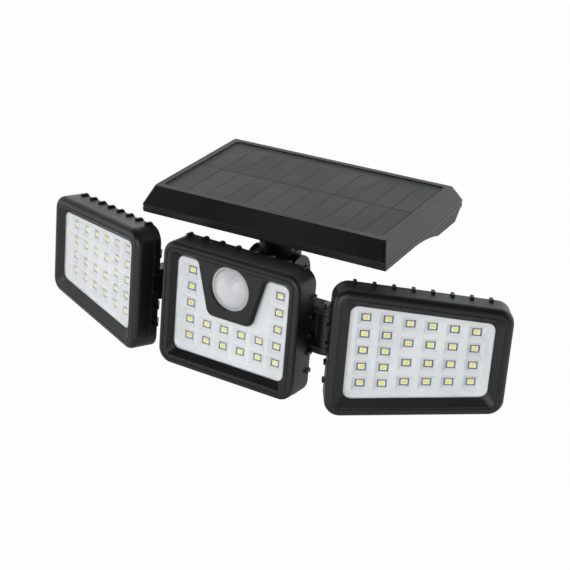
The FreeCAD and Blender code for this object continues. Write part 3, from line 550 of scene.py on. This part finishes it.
class Finish(Enum):
    """Finishes by the part of the light that wears them."""

    BLACK = MouldedBlack()
    # Lighter than the moulded black: a painted highlight along the skirt's beads, over a real
    # higher gloss.
    BEAD = Plastic("bead_black_painted_highlight", (0.014, 0.0145, 0.015), (0.018, 0.0185, 0.019), (0.15, 0.25))
    REFLECTOR = Plastic("reflector_white", (0.60, 0.607, 0.616), (0.66, 0.667, 0.674), (0.2, 0.3),
                        cloud_per_metre=60.0, cloud_start=0.35, wear_per_metre=300.0,
                        grain_per_metre=240.0, grain_detail=1.0, grain_height=0.02 * MM,
                        grain_strength=0.5, edge_radius=0.3 * MM, ior=1.53)
    COVER = ClearSheet("clear_cover")
    PANEL_SHEET = SatinSheet("panel_sheet")
    LENS = Plastic("milky_lens", (0.86, 0.895, 0.92), (0.93, 0.95, 0.965), (0.08, 0.14),
                   cloud_per_metre=160.0, cloud_detail=3.0, wear_per_metre=500.0,
                   grain_per_metre=1400.0, grain_detail=2.0, grain_height=0.008 * MM,
                   grain_strength=0.5, ior=1.51, glow=0.08)
    LED_BODY = Plastic("led_body", (0.74, 0.75, 0.74), (0.80, 0.81, 0.80), (0.3, 0.4))
    PHOSPHOR = Plastic("phosphor", (0.72, 0.66, 0.03), (0.84, 0.78, 0.06), (0.25, 0.35),
                       cloud_per_metre=625.0, wear_per_metre=1250.0, grain_per_metre=5000.0,
                       grain_height=0.004 * MM)
    LED_BOARD = SolderMask("led_board_mask", (0.075, 0.08, 0.095), (0.11, 0.115, 0.13))
    CONTROL_BOARD = SolderMask("control_board_mask", (0.012, 0.09, 0.035), (0.03, 0.16, 0.06))
    BACKING = Plastic("panel_backing", (0.006, 0.0062, 0.0064), (0.009, 0.0092, 0.0094),
                      (0.5, 0.6), ior=1.12)
    SEAL = Plastic("seal_rubber", (0.014, 0.014, 0.014), (0.02, 0.02, 0.02), (0.65, 0.75))
    BUTTON = Plastic("button_rubber", (0.016, 0.016, 0.017), (0.022, 0.022, 0.023), (0.55, 0.65))
    BATTERY = Plastic("battery_wrap", (0.02, 0.12, 0.30), (0.025, 0.15, 0.36), (0.2, 0.3))
    SWITCH = Plastic("switch_body", (0.02, 0.02, 0.02), (0.03, 0.03, 0.03), (0.35, 0.45))
    STEEL = ZincSteel()
    CELL = SiliconCell()


MATERIALS: dict[Finish, Material] = {}


# ---------- meshes
@dataclass
class Patch:
    """One piece of surface: points, four-cornered faces and their material's index."""

    points: np.ndarray
    faces: np.ndarray
    material: int = 0

    @staticmethod
    def grid(points: np.ndarray, wrap: bool = False, flip: bool = False,
             material: int = 0, ring: bool = False) -> "Patch":
        """Quads over a grid of points.

        Args:
            points: array of rows x columns x 3.
            wrap: whether the last column joins the first.
            flip: whether the faces turn over.
            material: the material index.
            ring: whether the last row joins the first.

        Returns:
            The patch.
        """
        rows, columns = points.shape[:2]
        index = np.arange(rows * columns).reshape(rows, columns)
        if wrap:
            index = np.concatenate([index, index[:, :1]], axis=1)
        if ring:
            index = np.concatenate([index, index[:1]], axis=0)
        quads = np.stack([index[:-1, :-1], index[:-1, 1:], index[1:, 1:], index[1:, :-1]],
                         axis=-1).reshape(-1, 4)
        if flip:
            quads = quads[:, ::-1]
        return Patch(points.reshape(-1, 3), quads, material)


def make_piece(name: str, patches: Iterable[Patch], materials: Sequence[Material],
               smooth_angle: float | None = 40.0) -> Piece:
    """Join patches into one object at the origin.

    Args:
        name: the piece's name.
        patches: surfaces in the model's frame.
        materials: materials in the order of the patches' indices.
        smooth_angle: faces meeting below this angle, in degrees, are shaded smooth. With
            None all faces stay flat.

    Returns:
        The new object, linked to the scene.
    """
    points, faces, indices, start = [], [], [], 0
    for patch in patches:
        points.append(patch.points)
        faces.append(patch.faces + start)
        indices.append(np.full(len(patch.faces), patch.material, dtype=np.int32))
        start += len(patch.points)
    mesh = bpy.data.meshes.new(name)
    mesh.from_pydata(np.concatenate(points).tolist(), [], np.concatenate(faces).tolist())
    mesh.polygons.foreach_set("material_index", np.concatenate(indices))
    for material in materials:
        mesh.materials.append(material)
    mesh.validate()
    if smooth_angle is not None:
        mesh.shade_smooth()
        mesh.set_sharp_from_angle(angle=math.radians(smooth_angle))
    piece = bpy.data.objects.new(name, mesh)
    bpy.context.scene.collection.objects.link(piece)
    return piece


def full_circle(steps: int) -> np.ndarray:
    """Angles of a circle's points, the first not repeated."""
    return np.linspace(0.0, 2 * math.pi, steps, endpoint=False)


# ---------- lamp heads
@dataclass(frozen=True)
class HeadPlace:
    """Where a lamp head stands: its LED plane is y = 0 and its front -Y in its own frame."""

    hinge: Point
    advance: float = 0.0
    yaw: float = 0.0
    mirrored: bool = False

    def to_model(self, points: np.ndarray) -> np.ndarray:
        """Move points from the head's frame to the model's.

        Args:
            points: array of points, in metres.

        Returns:
            The moved points. A mirrored head is flipped in x first.
        """
        moved = points.copy()
        moved[..., 1] -= self.advance
        if self.mirrored:
            moved[..., 0] *= -1.0
        angle = -self.yaw if self.mirrored else self.yaw
        turn = np.array([[math.cos(angle), -math.sin(angle), 0.0],
                         [math.sin(angle), math.cos(angle), 0.0], [0.0, 0.0, 1.0]])
        return moved @ turn.T + np.array(self.hinge)


@dataclass
class LedField:
    """The LED packages of one head."""

    node: str
    body: str
    place: HeadPlace
    centres: np.ndarray
    size: Pair = (3.5 * MM, 2.8 * MM)
    thickness: float = 0.8 * MM
    corner: float = 0.1 * MM
    rim_height: float = 0.12 * MM
    rim_inset: float = 0.16 * MM
    rim_corner: float = 0.125 * MM
    cup: Pair = (2.5 * MM, 2.0 * MM)
    cup_corner: float = 0.25 * MM
    cup_slope: float = 0.3 * MM
    cup_depth: float = 0.22 * MM
    fill_inset: float = 0.16 * MM
    fill_depth: float = 0.11 * MM
    crown_share: float = 0.6
    crown_corner: float = 0.175 * MM
    crown_depth: float = 0.0704 * MM
    tip_share: float = 0.05
    tip_corner: float = 0.01 * MM
    tip_depth: float = 0.0616 * MM

    def loop(self, size: np.ndarray, cut: float, depth: float) -> np.ndarray:
        """Eight points of a rectangle with cut corners, at a depth.

        Args:
            size: full width and height.
            cut: length taken off each corner.
            depth: y of the loop.

        Returns:
            Array of 8 x 3 points.
        """
        w, h = size / 2
        x = np.array([w, w, w - cut, cut - w, -w, -w, cut - w, w - cut])
        z = np.array([cut - h, h - cut, h, h, h - cut, cut - h, -h, -h])
        return np.stack([x, np.full(len(x), depth), z], axis=-1)

    def package(self) -> tuple[np.ndarray, np.ndarray]:
        """Rings of one package from its foot, over its rim and down into its cup.

        Returns:
            The rings of the white body, and the rings of the phosphor fill. The fill is a
            shallow cushion that rises from the cup's wall to its middle.
        """
        size, cup = np.array(self.size), np.array(self.cup)
        body = np.stack([
            self.loop(size, self.corner, self.thickness),
            self.loop(size, self.corner, self.rim_height),
            self.loop(size - self.rim_inset, self.rim_corner, 0.0),
            self.loop(cup, self.cup_corner, 0.0),
            self.loop(cup - self.cup_slope, self.cup_corner, self.cup_depth)])
        fill = np.stack([
            self.loop(cup - self.fill_inset, self.cup_corner, self.fill_depth),
            self.loop(cup * self.crown_share, self.crown_corner, self.crown_depth),
            self.loop(cup * self.tip_share, self.tip_corner, self.tip_depth)])
        return body, fill

    def build(self) -> Piece:
        """Make all packages of the head as one piece.

        Returns:
            The piece.
        """
        patches = []
        flip = not self.place.mirrored
        for x, z in self.centres:
            shift = np.array([x, 0.0, z])
            for material, rings in enumerate(self.package()):
                points = self.place.to_model(rings + shift)
                patches.append(Patch.grid(points, wrap=True, flip=flip, material=material))
        piece = make_piece(self.body + "_led_packages", patches,
                           [MATERIALS[Finish.LED_BODY], MATERIALS[Finish.PHOSPHOR]], 30.0)
        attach(piece, self.body)
        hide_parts(self.node)
        return piece


@dataclass
class SensorLens:
    """Shallow dome of the motion sensor, with rings of small lens facets in its skin."""

    radius: float = 11.6 * MM
    rise: float = 5.2 * MM
    wall: float = 0.8 * MM
    front: float = -4.5 * MM
    above_leds: float = 17.1 * MM
    flange_radius: float = 13.3 * MM
    flange_thickness: float = 1.0 * MM
    flange_lip: float = 1.6 * MM
    facet_rings: int = 4
    facets_per_ring: int = 6
    facet_floor: float = 0.35
    relief: float = 0.12 * MM
    pole: float = 0.01 * MM
    dome_rows: int = 49
    inner_rows: int = 14
    columns: int = 192

    def sweep(self, radii: np.ndarray, depths: np.ndarray) -> np.ndarray:
        """Points all round the axis: x = r cos t, z = r sin t, with y as given.

        Args:
            radii: column of distances from the axis.
            depths: their y, in one column or one for each angle.

        Returns:
            Array of rows x columns x 3 points.
        """
        t = full_circle(self.columns)[None, :]
        return np.stack([radii * np.cos(t), depths + 0 * t, radii * np.sin(t)], axis=-1)

    def dome(self, sphere: float) -> np.ndarray:
        """Outer skin with its facets.

        At a distance r from the axis a sphere of radius R stands sqrt(R^2 - r^2) - (R - rise)
        proud. Between facets it is lower by the relief: each ring of facets is an arch |sin| in
        r, times an arch in the angle round the axis. Each ring has six facets more than the one
        inside it.

        Args:
            sphere: radius of the sphere.

        Returns:
            Array of rows x columns x 3 points.
        """
        r = np.linspace(self.pole, self.radius, self.dome_rows)[:, None]
        ring = r / self.radius * self.facet_rings
        whole = np.minimum(np.floor(ring), self.facet_rings - 1)
        count = self.facets_per_ring * (1 + whole)
        arch = np.abs(np.sin(count * full_circle(self.columns)[None, :] / 2))
        facet = np.abs(np.sin(math.pi * ring)) * (self.facet_floor
                                                  + (1 - self.facet_floor) * arch)
        proud = np.sqrt(sphere ** 2 - r ** 2) - (sphere - self.rise)
        return self.sweep(r, self.relief * (1 - facet) * (r < self.radius) - proud)

    def build(self) -> Piece:
        """Make the dome, its flange and its inner skin as one surface.

        Returns:
            The piece.
        """
        sphere = (self.radius ** 2 + self.rise ** 2) / (2 * self.rise)
        lip, back = self.radius - self.flange_lip, self.flange_thickness
        flange = np.array([[self.radius, 0.0], [self.flange_radius, 0.0],
                           [self.flange_radius, back], [lip, back]])
        inner = np.linspace(lip, self.pole, self.inner_rows)[:, None]
        hollow = (sphere - self.rise) - np.sqrt((sphere - self.wall) ** 2 - inner ** 2)
        points = np.concatenate([self.dome(sphere), self.sweep(flange[:, :1], flange[:, 1:]),
                                 self.sweep(inner, hollow)])
        points += np.array(LAYOUT.from_leds(0.0, self.front, self.above_leds))
        piece = make_piece("motion_lens", [Patch.grid(points, wrap=True, flip=True)],
                           [MATERIALS[Finish.LENS]], 50.0)
        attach(piece, "centre_head")
        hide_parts("pir_lens")
        return piece


@dataclass
class LampHeads:
    """The three heads' LED packages and the motion sensor's lens."""

    columns: int = 6
    column_pitch: float = 11.3 * MM
    rows: int = 5
    full_rows: int = 2
    row_pitch: float = 9.65 * MM
    side_pitch: float = 11.67 * MM
    side_middle: float = 46.73 * MM
    side_advance: float = 20.55 * MM
    tall_columns: int = 2
    tall_rows: int = 5
    tall_half: float = 18.46 * MM
    tall_fall: float = 0.438 * MM
    short_rows: int = 4
    short_half: float = 15.41 * MM
    short_fall: float = 0.796 * MM

    def centre_places(self) -> np.ndarray:
        """LED centres of the centre head: full rows below, outer columns above.

        Returns:
            Array of x and z for each LED.
        """
        last = self.columns - 1
        column, row = np.meshgrid(np.arange(self.columns), np.arange(self.rows))
        keep = (row >= self.rows - self.full_rows) | (column == 0) | (column == last)
        x = (column - last / 2) * self.column_pitch
        z = ((self.rows - 1) / 2 - row) * self.row_pitch
        return np.stack([x[keep], z[keep]], axis=-1)

    def side_places(self) -> np.ndarray:
        """LED centres of a side head: two columns of five, then four of four.

        Each column is evenly spaced from its half height down. The half height falls evenly
        from one column to the next, among the tall ones and among the short ones.

        Returns:
            Array of x and z for each LED.
        """
        places = []
        last = self.columns - 1
        for column in range(self.columns):
            if column < self.tall_columns:
                rows, half = self.tall_rows, self.tall_half
                half -= self.tall_fall * (column - (self.tall_columns - 1) / 2)
            else:
                rows, half = self.short_rows, self.short_half
                half -= self.short_fall * (column - (self.tall_columns + last) / 2)
            x = np.full(rows, self.side_middle + (column - last / 2) * self.side_pitch)
            places.append(np.stack([x, np.linspace(half, -half, rows)], axis=-1))
        return np.concatenate(places)

    def build(self) -> None:
        """Make the LED packages and the lens."""
        fields = [LedField("centre_leds", "centre_head", HeadPlace(LAYOUT.from_leds(0.0, 0.0, 0.0)),
                           self.centre_places())]
        for name, side, yaw in (("right", 1.0, LAYOUT.right_yaw), ("left", -1.0, LAYOUT.left_yaw)):
            hinge = LAYOUT.from_leds(side * LAYOUT.hinge_offset, LAYOUT.hinge_depth, 0.0)
            place = HeadPlace(hinge, self.side_advance, yaw, mirrored=side < 0)
            fields.append(LedField(name + "_leds", name + "_head", place, self.side_places()))
        for item in fields:
            LOG.info("made %s", item.build().name)
        LOG.info("made %s", SensorLens().build().name)


# ---------- screws and bolts
def loose_parts(node: Piece, tolerance: float = 0.01 * MM) -> list[np.ndarray]:
    """Points of each separate solid in a node's mesh.

    Points at the same place count as one. Each then takes the lowest label among its
    neighbours along the edges, again and again, until nothing changes.

    Args:
        node: a node of the model.
        tolerance: how near two points at the same place are.

    Returns:
        One array of points for each solid, in the model's frame.
    """
    mesh = node.data
    points = np.empty(len(mesh.vertices) * 3)
    mesh.vertices.foreach_get("co", points)
    place = np.array(node.matrix_world)
    points = points.reshape(-1, 3) @ place[:3, :3].T + place[:3, 3]
    _, same = np.unique(np.round(points / tolerance), axis=0, return_inverse=True)
    same = same.reshape(-1)
    edges = np.empty(len(mesh.edges) * 2, dtype=np.int64)
    mesh.edges.foreach_get("vertices", edges)
    edges = same[edges].reshape(-1, 2)
    label = np.arange(same.max() + 1)
    while True:
        lower = label.copy()
        np.minimum.at(lower, edges[:, 0], label[edges[:, 1]])
        np.minimum.at(lower, edges[:, 1], label[edges[:, 0]])
        lower = lower[lower]
        if np.array_equal(lower, label):
            break
        label = lower
    owner = label[same]
    return [points[owner == part] for part in np.unique(owner)]


@dataclass
class CrossHeadScrews:
    """Pan-head screws with a cross recess, in place of a node's plain ones.

    The shares are of the head's radius, apart from those of the rim and the recess's depth,
    which are of the head's thickness, and of the tip, which is of the shank's radius.
    """

    node: str
    body: str
    outwards: Point
    shank_share: float = 0.52
    tip_share: float = 0.35
    rim_share: float = 0.55
    dome_power: float = 2.6
    recess_depth_share: float = 0.55
    recess_length_share: float = 0.58
    recess_width_share: float = 0.2
    recess_edge_share: float = 0.06
    recess_taper: float = 0.5
    head_edge: float = 0.98
    pole_share: float = 0.0001
    tip_radius: float = 0.001 * MM
    upright_from: float = 0.9
    rows: int = 30
    columns: int = 72

    def axes(self) -> tuple[np.ndarray, np.ndarray, np.ndarray]:
        """Unit vectors across the screw, upwards and out of the case.

        Returns:
            The three vectors.
        """
        out = np.array(self.outwards) / np.linalg.norm(self.outwards)
        upright = abs(out[2]) > self.upright_from
        helper = np.array([1.0, 0.0, 0.0]) if upright else np.array([0.0, 0.0, 1.0])
        across = np.cross(helper, out)
        across /= np.linalg.norm(across)
        return across, np.cross(out, across), out

    def recess(self, x: np.ndarray, y: np.ndarray, radius: float) -> np.ndarray:
        """Depth of the cross recess as a share: two crossed bars, shallower away from the axis.

        Args:
            x: places across the head.
            y: places along it.
            radius: the head's radius.

        Returns:
            1 at full depth and 0 outside the cross.
        """
        half_width = self.recess_width_share * radius
        length = self.recess_length_share * radius
        edge = self.recess_edge_share * radius
        bars = [np.clip((half_width - np.abs(a)) / edge, 0, 1)
                * np.clip((length - np.abs(b)) / edge, 0, 1) for a, b in ((y, x), (x, y))]
        taper = 1 - self.recess_taper * np.clip(np.hypot(x, y) / length, 0, 1)
        return np.maximum(*bars) * taper

    def one(self, points: np.ndarray) -> Patch:
        """Surface of one screw that fits in the box of its plain solid.

        The head falls from its top by a power of the distance from the axis. Below its rim
        come the seat, the shank and a blunt tip.

        Args:
            points: the plain screw's points.

        Returns:
            The screw's surface.
        """
        across, upwards, out = self.axes()
        along = points @ out
        side = np.stack([points @ across, points @ upwards], axis=-1)
        middle = (side.max(axis=0) + side.min(axis=0)) / 2
        reach = np.linalg.norm(side - middle, axis=-1)
        radius = reach.max()
        top, foot = along.max(), along.min()
        seat = along[reach > self.head_edge * radius].min()
        thick = top - seat
        t = full_circle(self.columns)[None, :]
        r = np.linspace(self.pole_share, 1.0, self.rows)[:, None] * radius
        dome = top - thick * (1 - self.rim_share) * (r / radius) ** self.dome_power
        recess = self.recess(r * np.cos(t), r * np.sin(t), radius)
        head = dome - recess * self.recess_depth_share * thick
        shank = self.shank_share * radius
        lower = np.array([[radius, seat], [shank, seat], [shank, foot + shank / 2],
                          [shank * self.tip_share, foot], [self.tip_radius, foot]])
        radii = np.concatenate([r, lower[:, :1]])
        heights = np.concatenate([head, lower[:, 1:] + 0 * t])
        place = (middle[0] + radii * np.cos(t))[..., None] * across
        place = place + (middle[1] + radii * np.sin(t))[..., None] * upwards
        return Patch.grid(place + heights[..., None] * out, wrap=True, flip=True)

    def build(self, nodes: dict[str, Piece]) -> Piece:
        """Make all screws of the node as one piece.

        Args:
            nodes: the model's nodes by name.

        Returns:
            The piece.
        """
        patches = [self.one(points) for points in loose_parts(nodes[self.node])]
        piece = make_piece(self.node + "_cross_head", patches, [MATERIALS[Finish.STEEL]], 35.0)
        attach(piece, self.body)
        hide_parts(self.node)
        return piece


@dataclass
class Fastenings:
    """All screws and bolts that show."""

    bolt_shank_share: float = 0.568

    def build(self, nodes: dict[str, Piece]) -> None:
        """Make every set of screws.

        Args:
            nodes: the model's nodes by name.
        """
        right, left, tilt = LAYOUT.right_yaw, LAYOUT.left_yaw, LAYOUT.panel_tilt
        ways_out = {"centre": (0.0, 1.0, 0.0),
                    "right": (-math.sin(right), math.cos(right), 0.0),
                    "left": (math.sin(left), math.cos(left), 0.0)}
        sets = [CrossHeadScrews(head + "_case_screws", head + "_head", way)
                for head, way in ways_out.items()]
        sets.append(CrossHeadScrews("panel_screws", "solar_panel",
                                    (0.0, math.sin(tilt), -math.cos(tilt))))
        sets += [CrossHeadScrews(bolt, body, (1.0, 0.0, 0.0), self.bolt_shank_share)
                 for bolt, body in (("panel_tilt_bolt", "centre_head"),
                                    ("bracket_bolt", "wall_bracket"))]
        for item in sets:
            LOG.info("made %s", item.build(nodes).name)


# ---------- panel trim
@dataclass
class SkirtBeads:
    """Two fine beads round the panel's skirt: under the slope and at the foot."""

    set_back: float = 30.1 * MM
    half_width: float = 75.1 * MM
    half_depth: float = 52.3 * MM
    corner: float = 2.0 * MM
    heights: Pair = (29.3 * MM, 26.6 * MM)
    radius: float = 0.55 * MM
    proud: float = 0.3 * MM
    corner_steps: int = 8
    section_steps: int = 14

    def outline(self) -> tuple[np.ndarray, np.ndarray]:
        """Rounded rectangle round the skirt.

        Each corner is an arc of the corner radius about a point that lies that radius inside
        both sides.

        Returns:
            Points of the outline in the panel's plane, and the unit vectors out of it.
        """
        arc = np.linspace(0.0, math.pi / 2, self.corner_steps)
        points, outward = [], []
        for turn, (side, end) in enumerate(((1, 1), (-1, 1), (-1, -1), (1, -1))):
            angle = arc + turn * math.pi / 2
            unit = np.stack([np.cos(angle), np.sin(angle)], axis=-1)
            middle = np.array([side * (self.half_width - self.corner),
                               end * (self.half_depth - self.corner)])
            points.append(middle + self.corner * unit)
            outward.append(unit)
        return np.concatenate(points), np.concatenate(outward)

    def to_model(self, points: np.ndarray) -> np.ndarray:
        """Turn points of the panel's frame about its neck, tilt them and set them down.

        Args:
            points: array of points, in metres.

        Returns:
            The moved points.
        """
        turn = Matrix.Rotation(LAYOUT.panel_turn, 3, "Z")
        tilt = Matrix.Rotation(LAYOUT.panel_tilt, 3, "X")
        pivot = LAYOUT.from_leds(0.0, LAYOUT.tilt_axis_depth, LAYOUT.tilt_axis_height)
        return points @ np.array(tilt @ turn).T + np.array(pivot)

    def build(self) -> Piece:
        """Carry a small circle along the outline at each height.

        Returns:
            The piece.
        """
        line, outward = self.outline()
        t = full_circle(self.section_steps)
        reach = self.proud - self.radius + self.radius * np.cos(t)
        plan = line[:, None, :] + outward[:, None, :] * reach[None, :, None]
        patches = []
        for height in self.heights:
            level = np.broadcast_to(height + self.radius * np.sin(t), plan.shape[:2])
            local = np.stack([plan[..., 0], plan[..., 1] + self.set_back, level], axis=-1)
            patches.append(Patch.grid(self.to_model(local), wrap=True, flip=True, ring=True))
        # The beads' lighter black is a painted highlight.
        piece = make_piece("panel_skirt_beads", patches, [MATERIALS[Finish.BEAD]])
        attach(piece, "solar_panel")
        return piece


# ---------- carried-over nodes
@dataclass
class Dresser:
    """Gives each node of the model its finish, by how the node's name ends."""

    endings: tuple[tuple[Finish, tuple[str, ...]], ...] = (
        (Finish.COVER, ("clear_cover",)),
        (Finish.REFLECTOR, ("reflector",)),
        (Finish.LED_BOARD, ("led_board",)),
        (Finish.CONTROL_BOARD, ("control_board",)),
        (Finish.SEAL, ("gasket",)),
        (Finish.STEEL, ("screws", "_bolt", "_nut", "hinge_pin", "turn_screw", "turn_washer",
                        "pir_sensor")),
        (Finish.BACKING, ("panel_backing_board",)),
        (Finish.PANEL_SHEET, ("panel_clear_sheet",)),
        (Finish.CELL, ("solar_cells",)),
        (Finish.BATTERY, ("battery_cells",)),
        (Finish.BUTTON, ("power_button",)),
        (Finish.SWITCH, ("power_switch",)),
    )

    def dress(self, nodes: dict[str, Piece]) -> None:
        """Assign the finishes; a node with no rule of its own is moulded black.

        Args:
            nodes: the model's nodes by name.
        """
        for name, node in nodes.items():
            finish = next((finish for finish, endings in self.endings if name.endswith(endings)),
                          Finish.BLACK)
            node.data.materials.clear()
            node.data.materials.append(MATERIALS[finish])
            LOG.info("%s wears %s", name, finish.name.lower())


# ---------- studio
@dataclass(frozen=True)
class SoftLamp:
    """A square area lamp that is turned to a point of the light."""

    name: str
    place: Point
    target: Point
    size: float
    watts: float

    def hang(self) -> None:
        """Place the lamp in the scene."""
        data = bpy.data.lights.new(self.name, "AREA")
        data.shape, data.size, data.energy = "SQUARE", self.size, self.watts
        lamp = bpy.data.objects.new(self.name, data)
        bpy.context.scene.collection.objects.link(lamp)
        lamp.location = self.place
        aim = Vector(self.target) - Vector(self.place)
        lamp.rotation_euler = aim.to_track_quat("-Z", "Y").to_euler()


@dataclass
class Studio:
    """Camera, lamps, floor and background."""

    camera_at: Point = (0.4274, -0.8241, 0.3869)
    right: Point = (0.843, 0.532, 0.077)
    up: Point = (-0.254, 0.267, 0.930)
    sensor_mm: float = 36.0
    focal_pixels: float = 1593.0
    photo_pixels: float = 570.0
    clip_from: float = 0.01
    clip_to: float = 20.0
    lamps: tuple[SoftLamp, ...] = (
        SoftLamp("front", (0.25, -1.25, 0.20), (0.0, -0.13, 0.06), 0.8, 6.0),
        SoftLamp("left", (-1.05, -0.75, 0.10), (0.0, -0.13, 0.06), 0.8, 3.5),
        SoftLamp("top", (-0.52, -0.15, 1.03), (0.0, -0.15, 0.06), 0.5, 0.5),
    )
    floor_middle: Point = (0.0, -0.15, -0.12)
    floor_reach: float = 4.0
    floor_low: Colour = (0.78, 0.78, 0.78)
    floor_high: Colour = (0.8, 0.8, 0.8)
    floor_cloud_per_metre: float = 8.0
    floor_lit: float = 0.02
    # What glossy faces see of the floor: a painted shadow under the light, white further away.
    floor_mirror_painted_shadow: Pair = (0.15, 0.78)
    floor_mirror_painted_shadow_reach: Pair = (0.1, 0.42)
    room_colour: Colour = (0.97, 0.985, 1.0)
    room_sides: Pair = (0.12, 1.15)
    room_side_reach: Pair = (-0.1, 0.45)
    horizon_gain: float = 1.4
    horizon_reach: float = 0.3
    ceiling_share: float = 0.25
    ceiling_reach: Pair = (0.42, 0.8)

    def aim_camera(self) -> None:
        """Set the camera where the photograph was taken from.

        Its axes are the measured right and up, made square to each other.
        """
        data = bpy.data.cameras.new("camera")
        camera = bpy.data.objects.new("camera", data)
        bpy.context.scene.collection.objects.link(camera)
        right, up = Vector(self.right), Vector(self.up)
        back = right.cross(up).normalized()
        up = back.cross(right).normalized()
        right.normalize()
        turn = Matrix((right, up, back)).transposed().to_4x4()
        camera.matrix_world = Matrix.Translation(Vector(self.camera_at)) @ turn
        data.sensor_width = self.sensor_mm
        data.lens = self.sensor_mm * self.focal_pixels / self.photo_pixels
        data.clip_start, data.clip_end = self.clip_from, self.clip_to
        bpy.context.scene.camera = camera

    def floor_white(self) -> Material:
        """White seen by the camera, a pale surface for other light, and clear from below.

        Where a glossy face mirrors it, a painted shadow makes it dim below the light, and it is
        brighter away from it.

        Returns:
            The material.
        """
        bench = NodeBench("pale_floor")
        away = bench.feed(bench.add("ShaderNodeVectorMath", operation="DISTANCE"),
                          {0: bench.object_coords(), 1: self.floor_middle})
        # Painted shadow: glossy faces see the floor dimmer near the light's foot.
        gloss = bench.remap(away.outputs["Value"], *self.floor_mirror_painted_shadow, *self.floor_mirror_painted_shadow_reach)
        mirrored = bench.math("MULTIPLY", bench.ray_is("Glossy"), gloss)
        white = bench.math("MAXIMUM", bench.in_view(), mirrored)
        cloud = bench.noise(self.floor_cloud_per_metre)
        pale = bench.two_tone(cloud, self.floor_low, self.floor_high)
        plain = bench.feed(bench.add("ShaderNodeBsdfDiffuse"), {"Color": pale})
        upper = bench.blend(bench.math("MULTIPLY", white, 1.0 - self.floor_lit), plain,
                            bench.add("ShaderNodeEmission"))
        bench.show(bench.blend(bench.back_faces(), upper, bench.add("ShaderNodeBsdfTransparent")))
        return bench.material

    def lay_floor(self) -> None:
        """Put a pale floor under the light."""
        reach, height = self.floor_reach, self.floor_middle[2]
        corners = np.array([[[x, y, height] for x in (-reach, reach)] for y in (-reach, reach)])
        make_piece("studio_floor", [Patch.grid(corners)], [self.floor_white()], None)

    def light_room(self) -> None:
        """Turn the background white and let a soft room light the object.

        The room's strength grows from the camera's side to the far side with the direction's Y,
        is a little more near the horizon and falls off towards the ceiling.
        """
        bench = WorldBench("studio")
        axes = bench.feed(bench.add("ShaderNodeSeparateXYZ"),
                          {0: bench.coords.outputs["Generated"]})
        depth = bench.remap(axes.outputs["Y"], *self.room_sides, *self.room_side_reach)
        low = bench.remap(axes.outputs["Z"], self.horizon_gain, 1.0, 0.0, self.horizon_reach)
        high = bench.remap(axes.outputs["Z"], 1.0, self.ceiling_share, *self.ceiling_reach)
        strength = bench.math("MULTIPLY", depth, bench.math("MULTIPLY", low, high))
        room = bench.feed(bench.add("ShaderNodeBackground"),
                          {"Color": (*self.room_colour, 1.0), "Strength": strength})
        white = bench.feed(bench.add("ShaderNodeBackground"), {"Color": (1.0, 1.0, 1.0, 1.0)})
        bench.show(bench.blend(bench.in_view(), room, white))

    def build(self) -> None:
        """Set up the whole studio."""
        self.aim_camera()
        for lamp in self.lamps:
            lamp.hang()
        self.lay_floor()
        self.light_room()
        bpy.context.scene.view_settings.view_transform = "Standard"


def main() -> None:
    """Build the light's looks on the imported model."""
    logging.basicConfig(level=logging.INFO, format="%(message)s")
    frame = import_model()
    for finish in Finish:
        MATERIALS[finish] = finish.value.build()
    Dresser().dress(frame["nodes"])
    LampHeads().build()
    Fastenings().build(frame["nodes"])
    LOG.info("made %s", SkirtBeads().build().name)
    Studio().build()


if __name__ == "__main__":
    main()
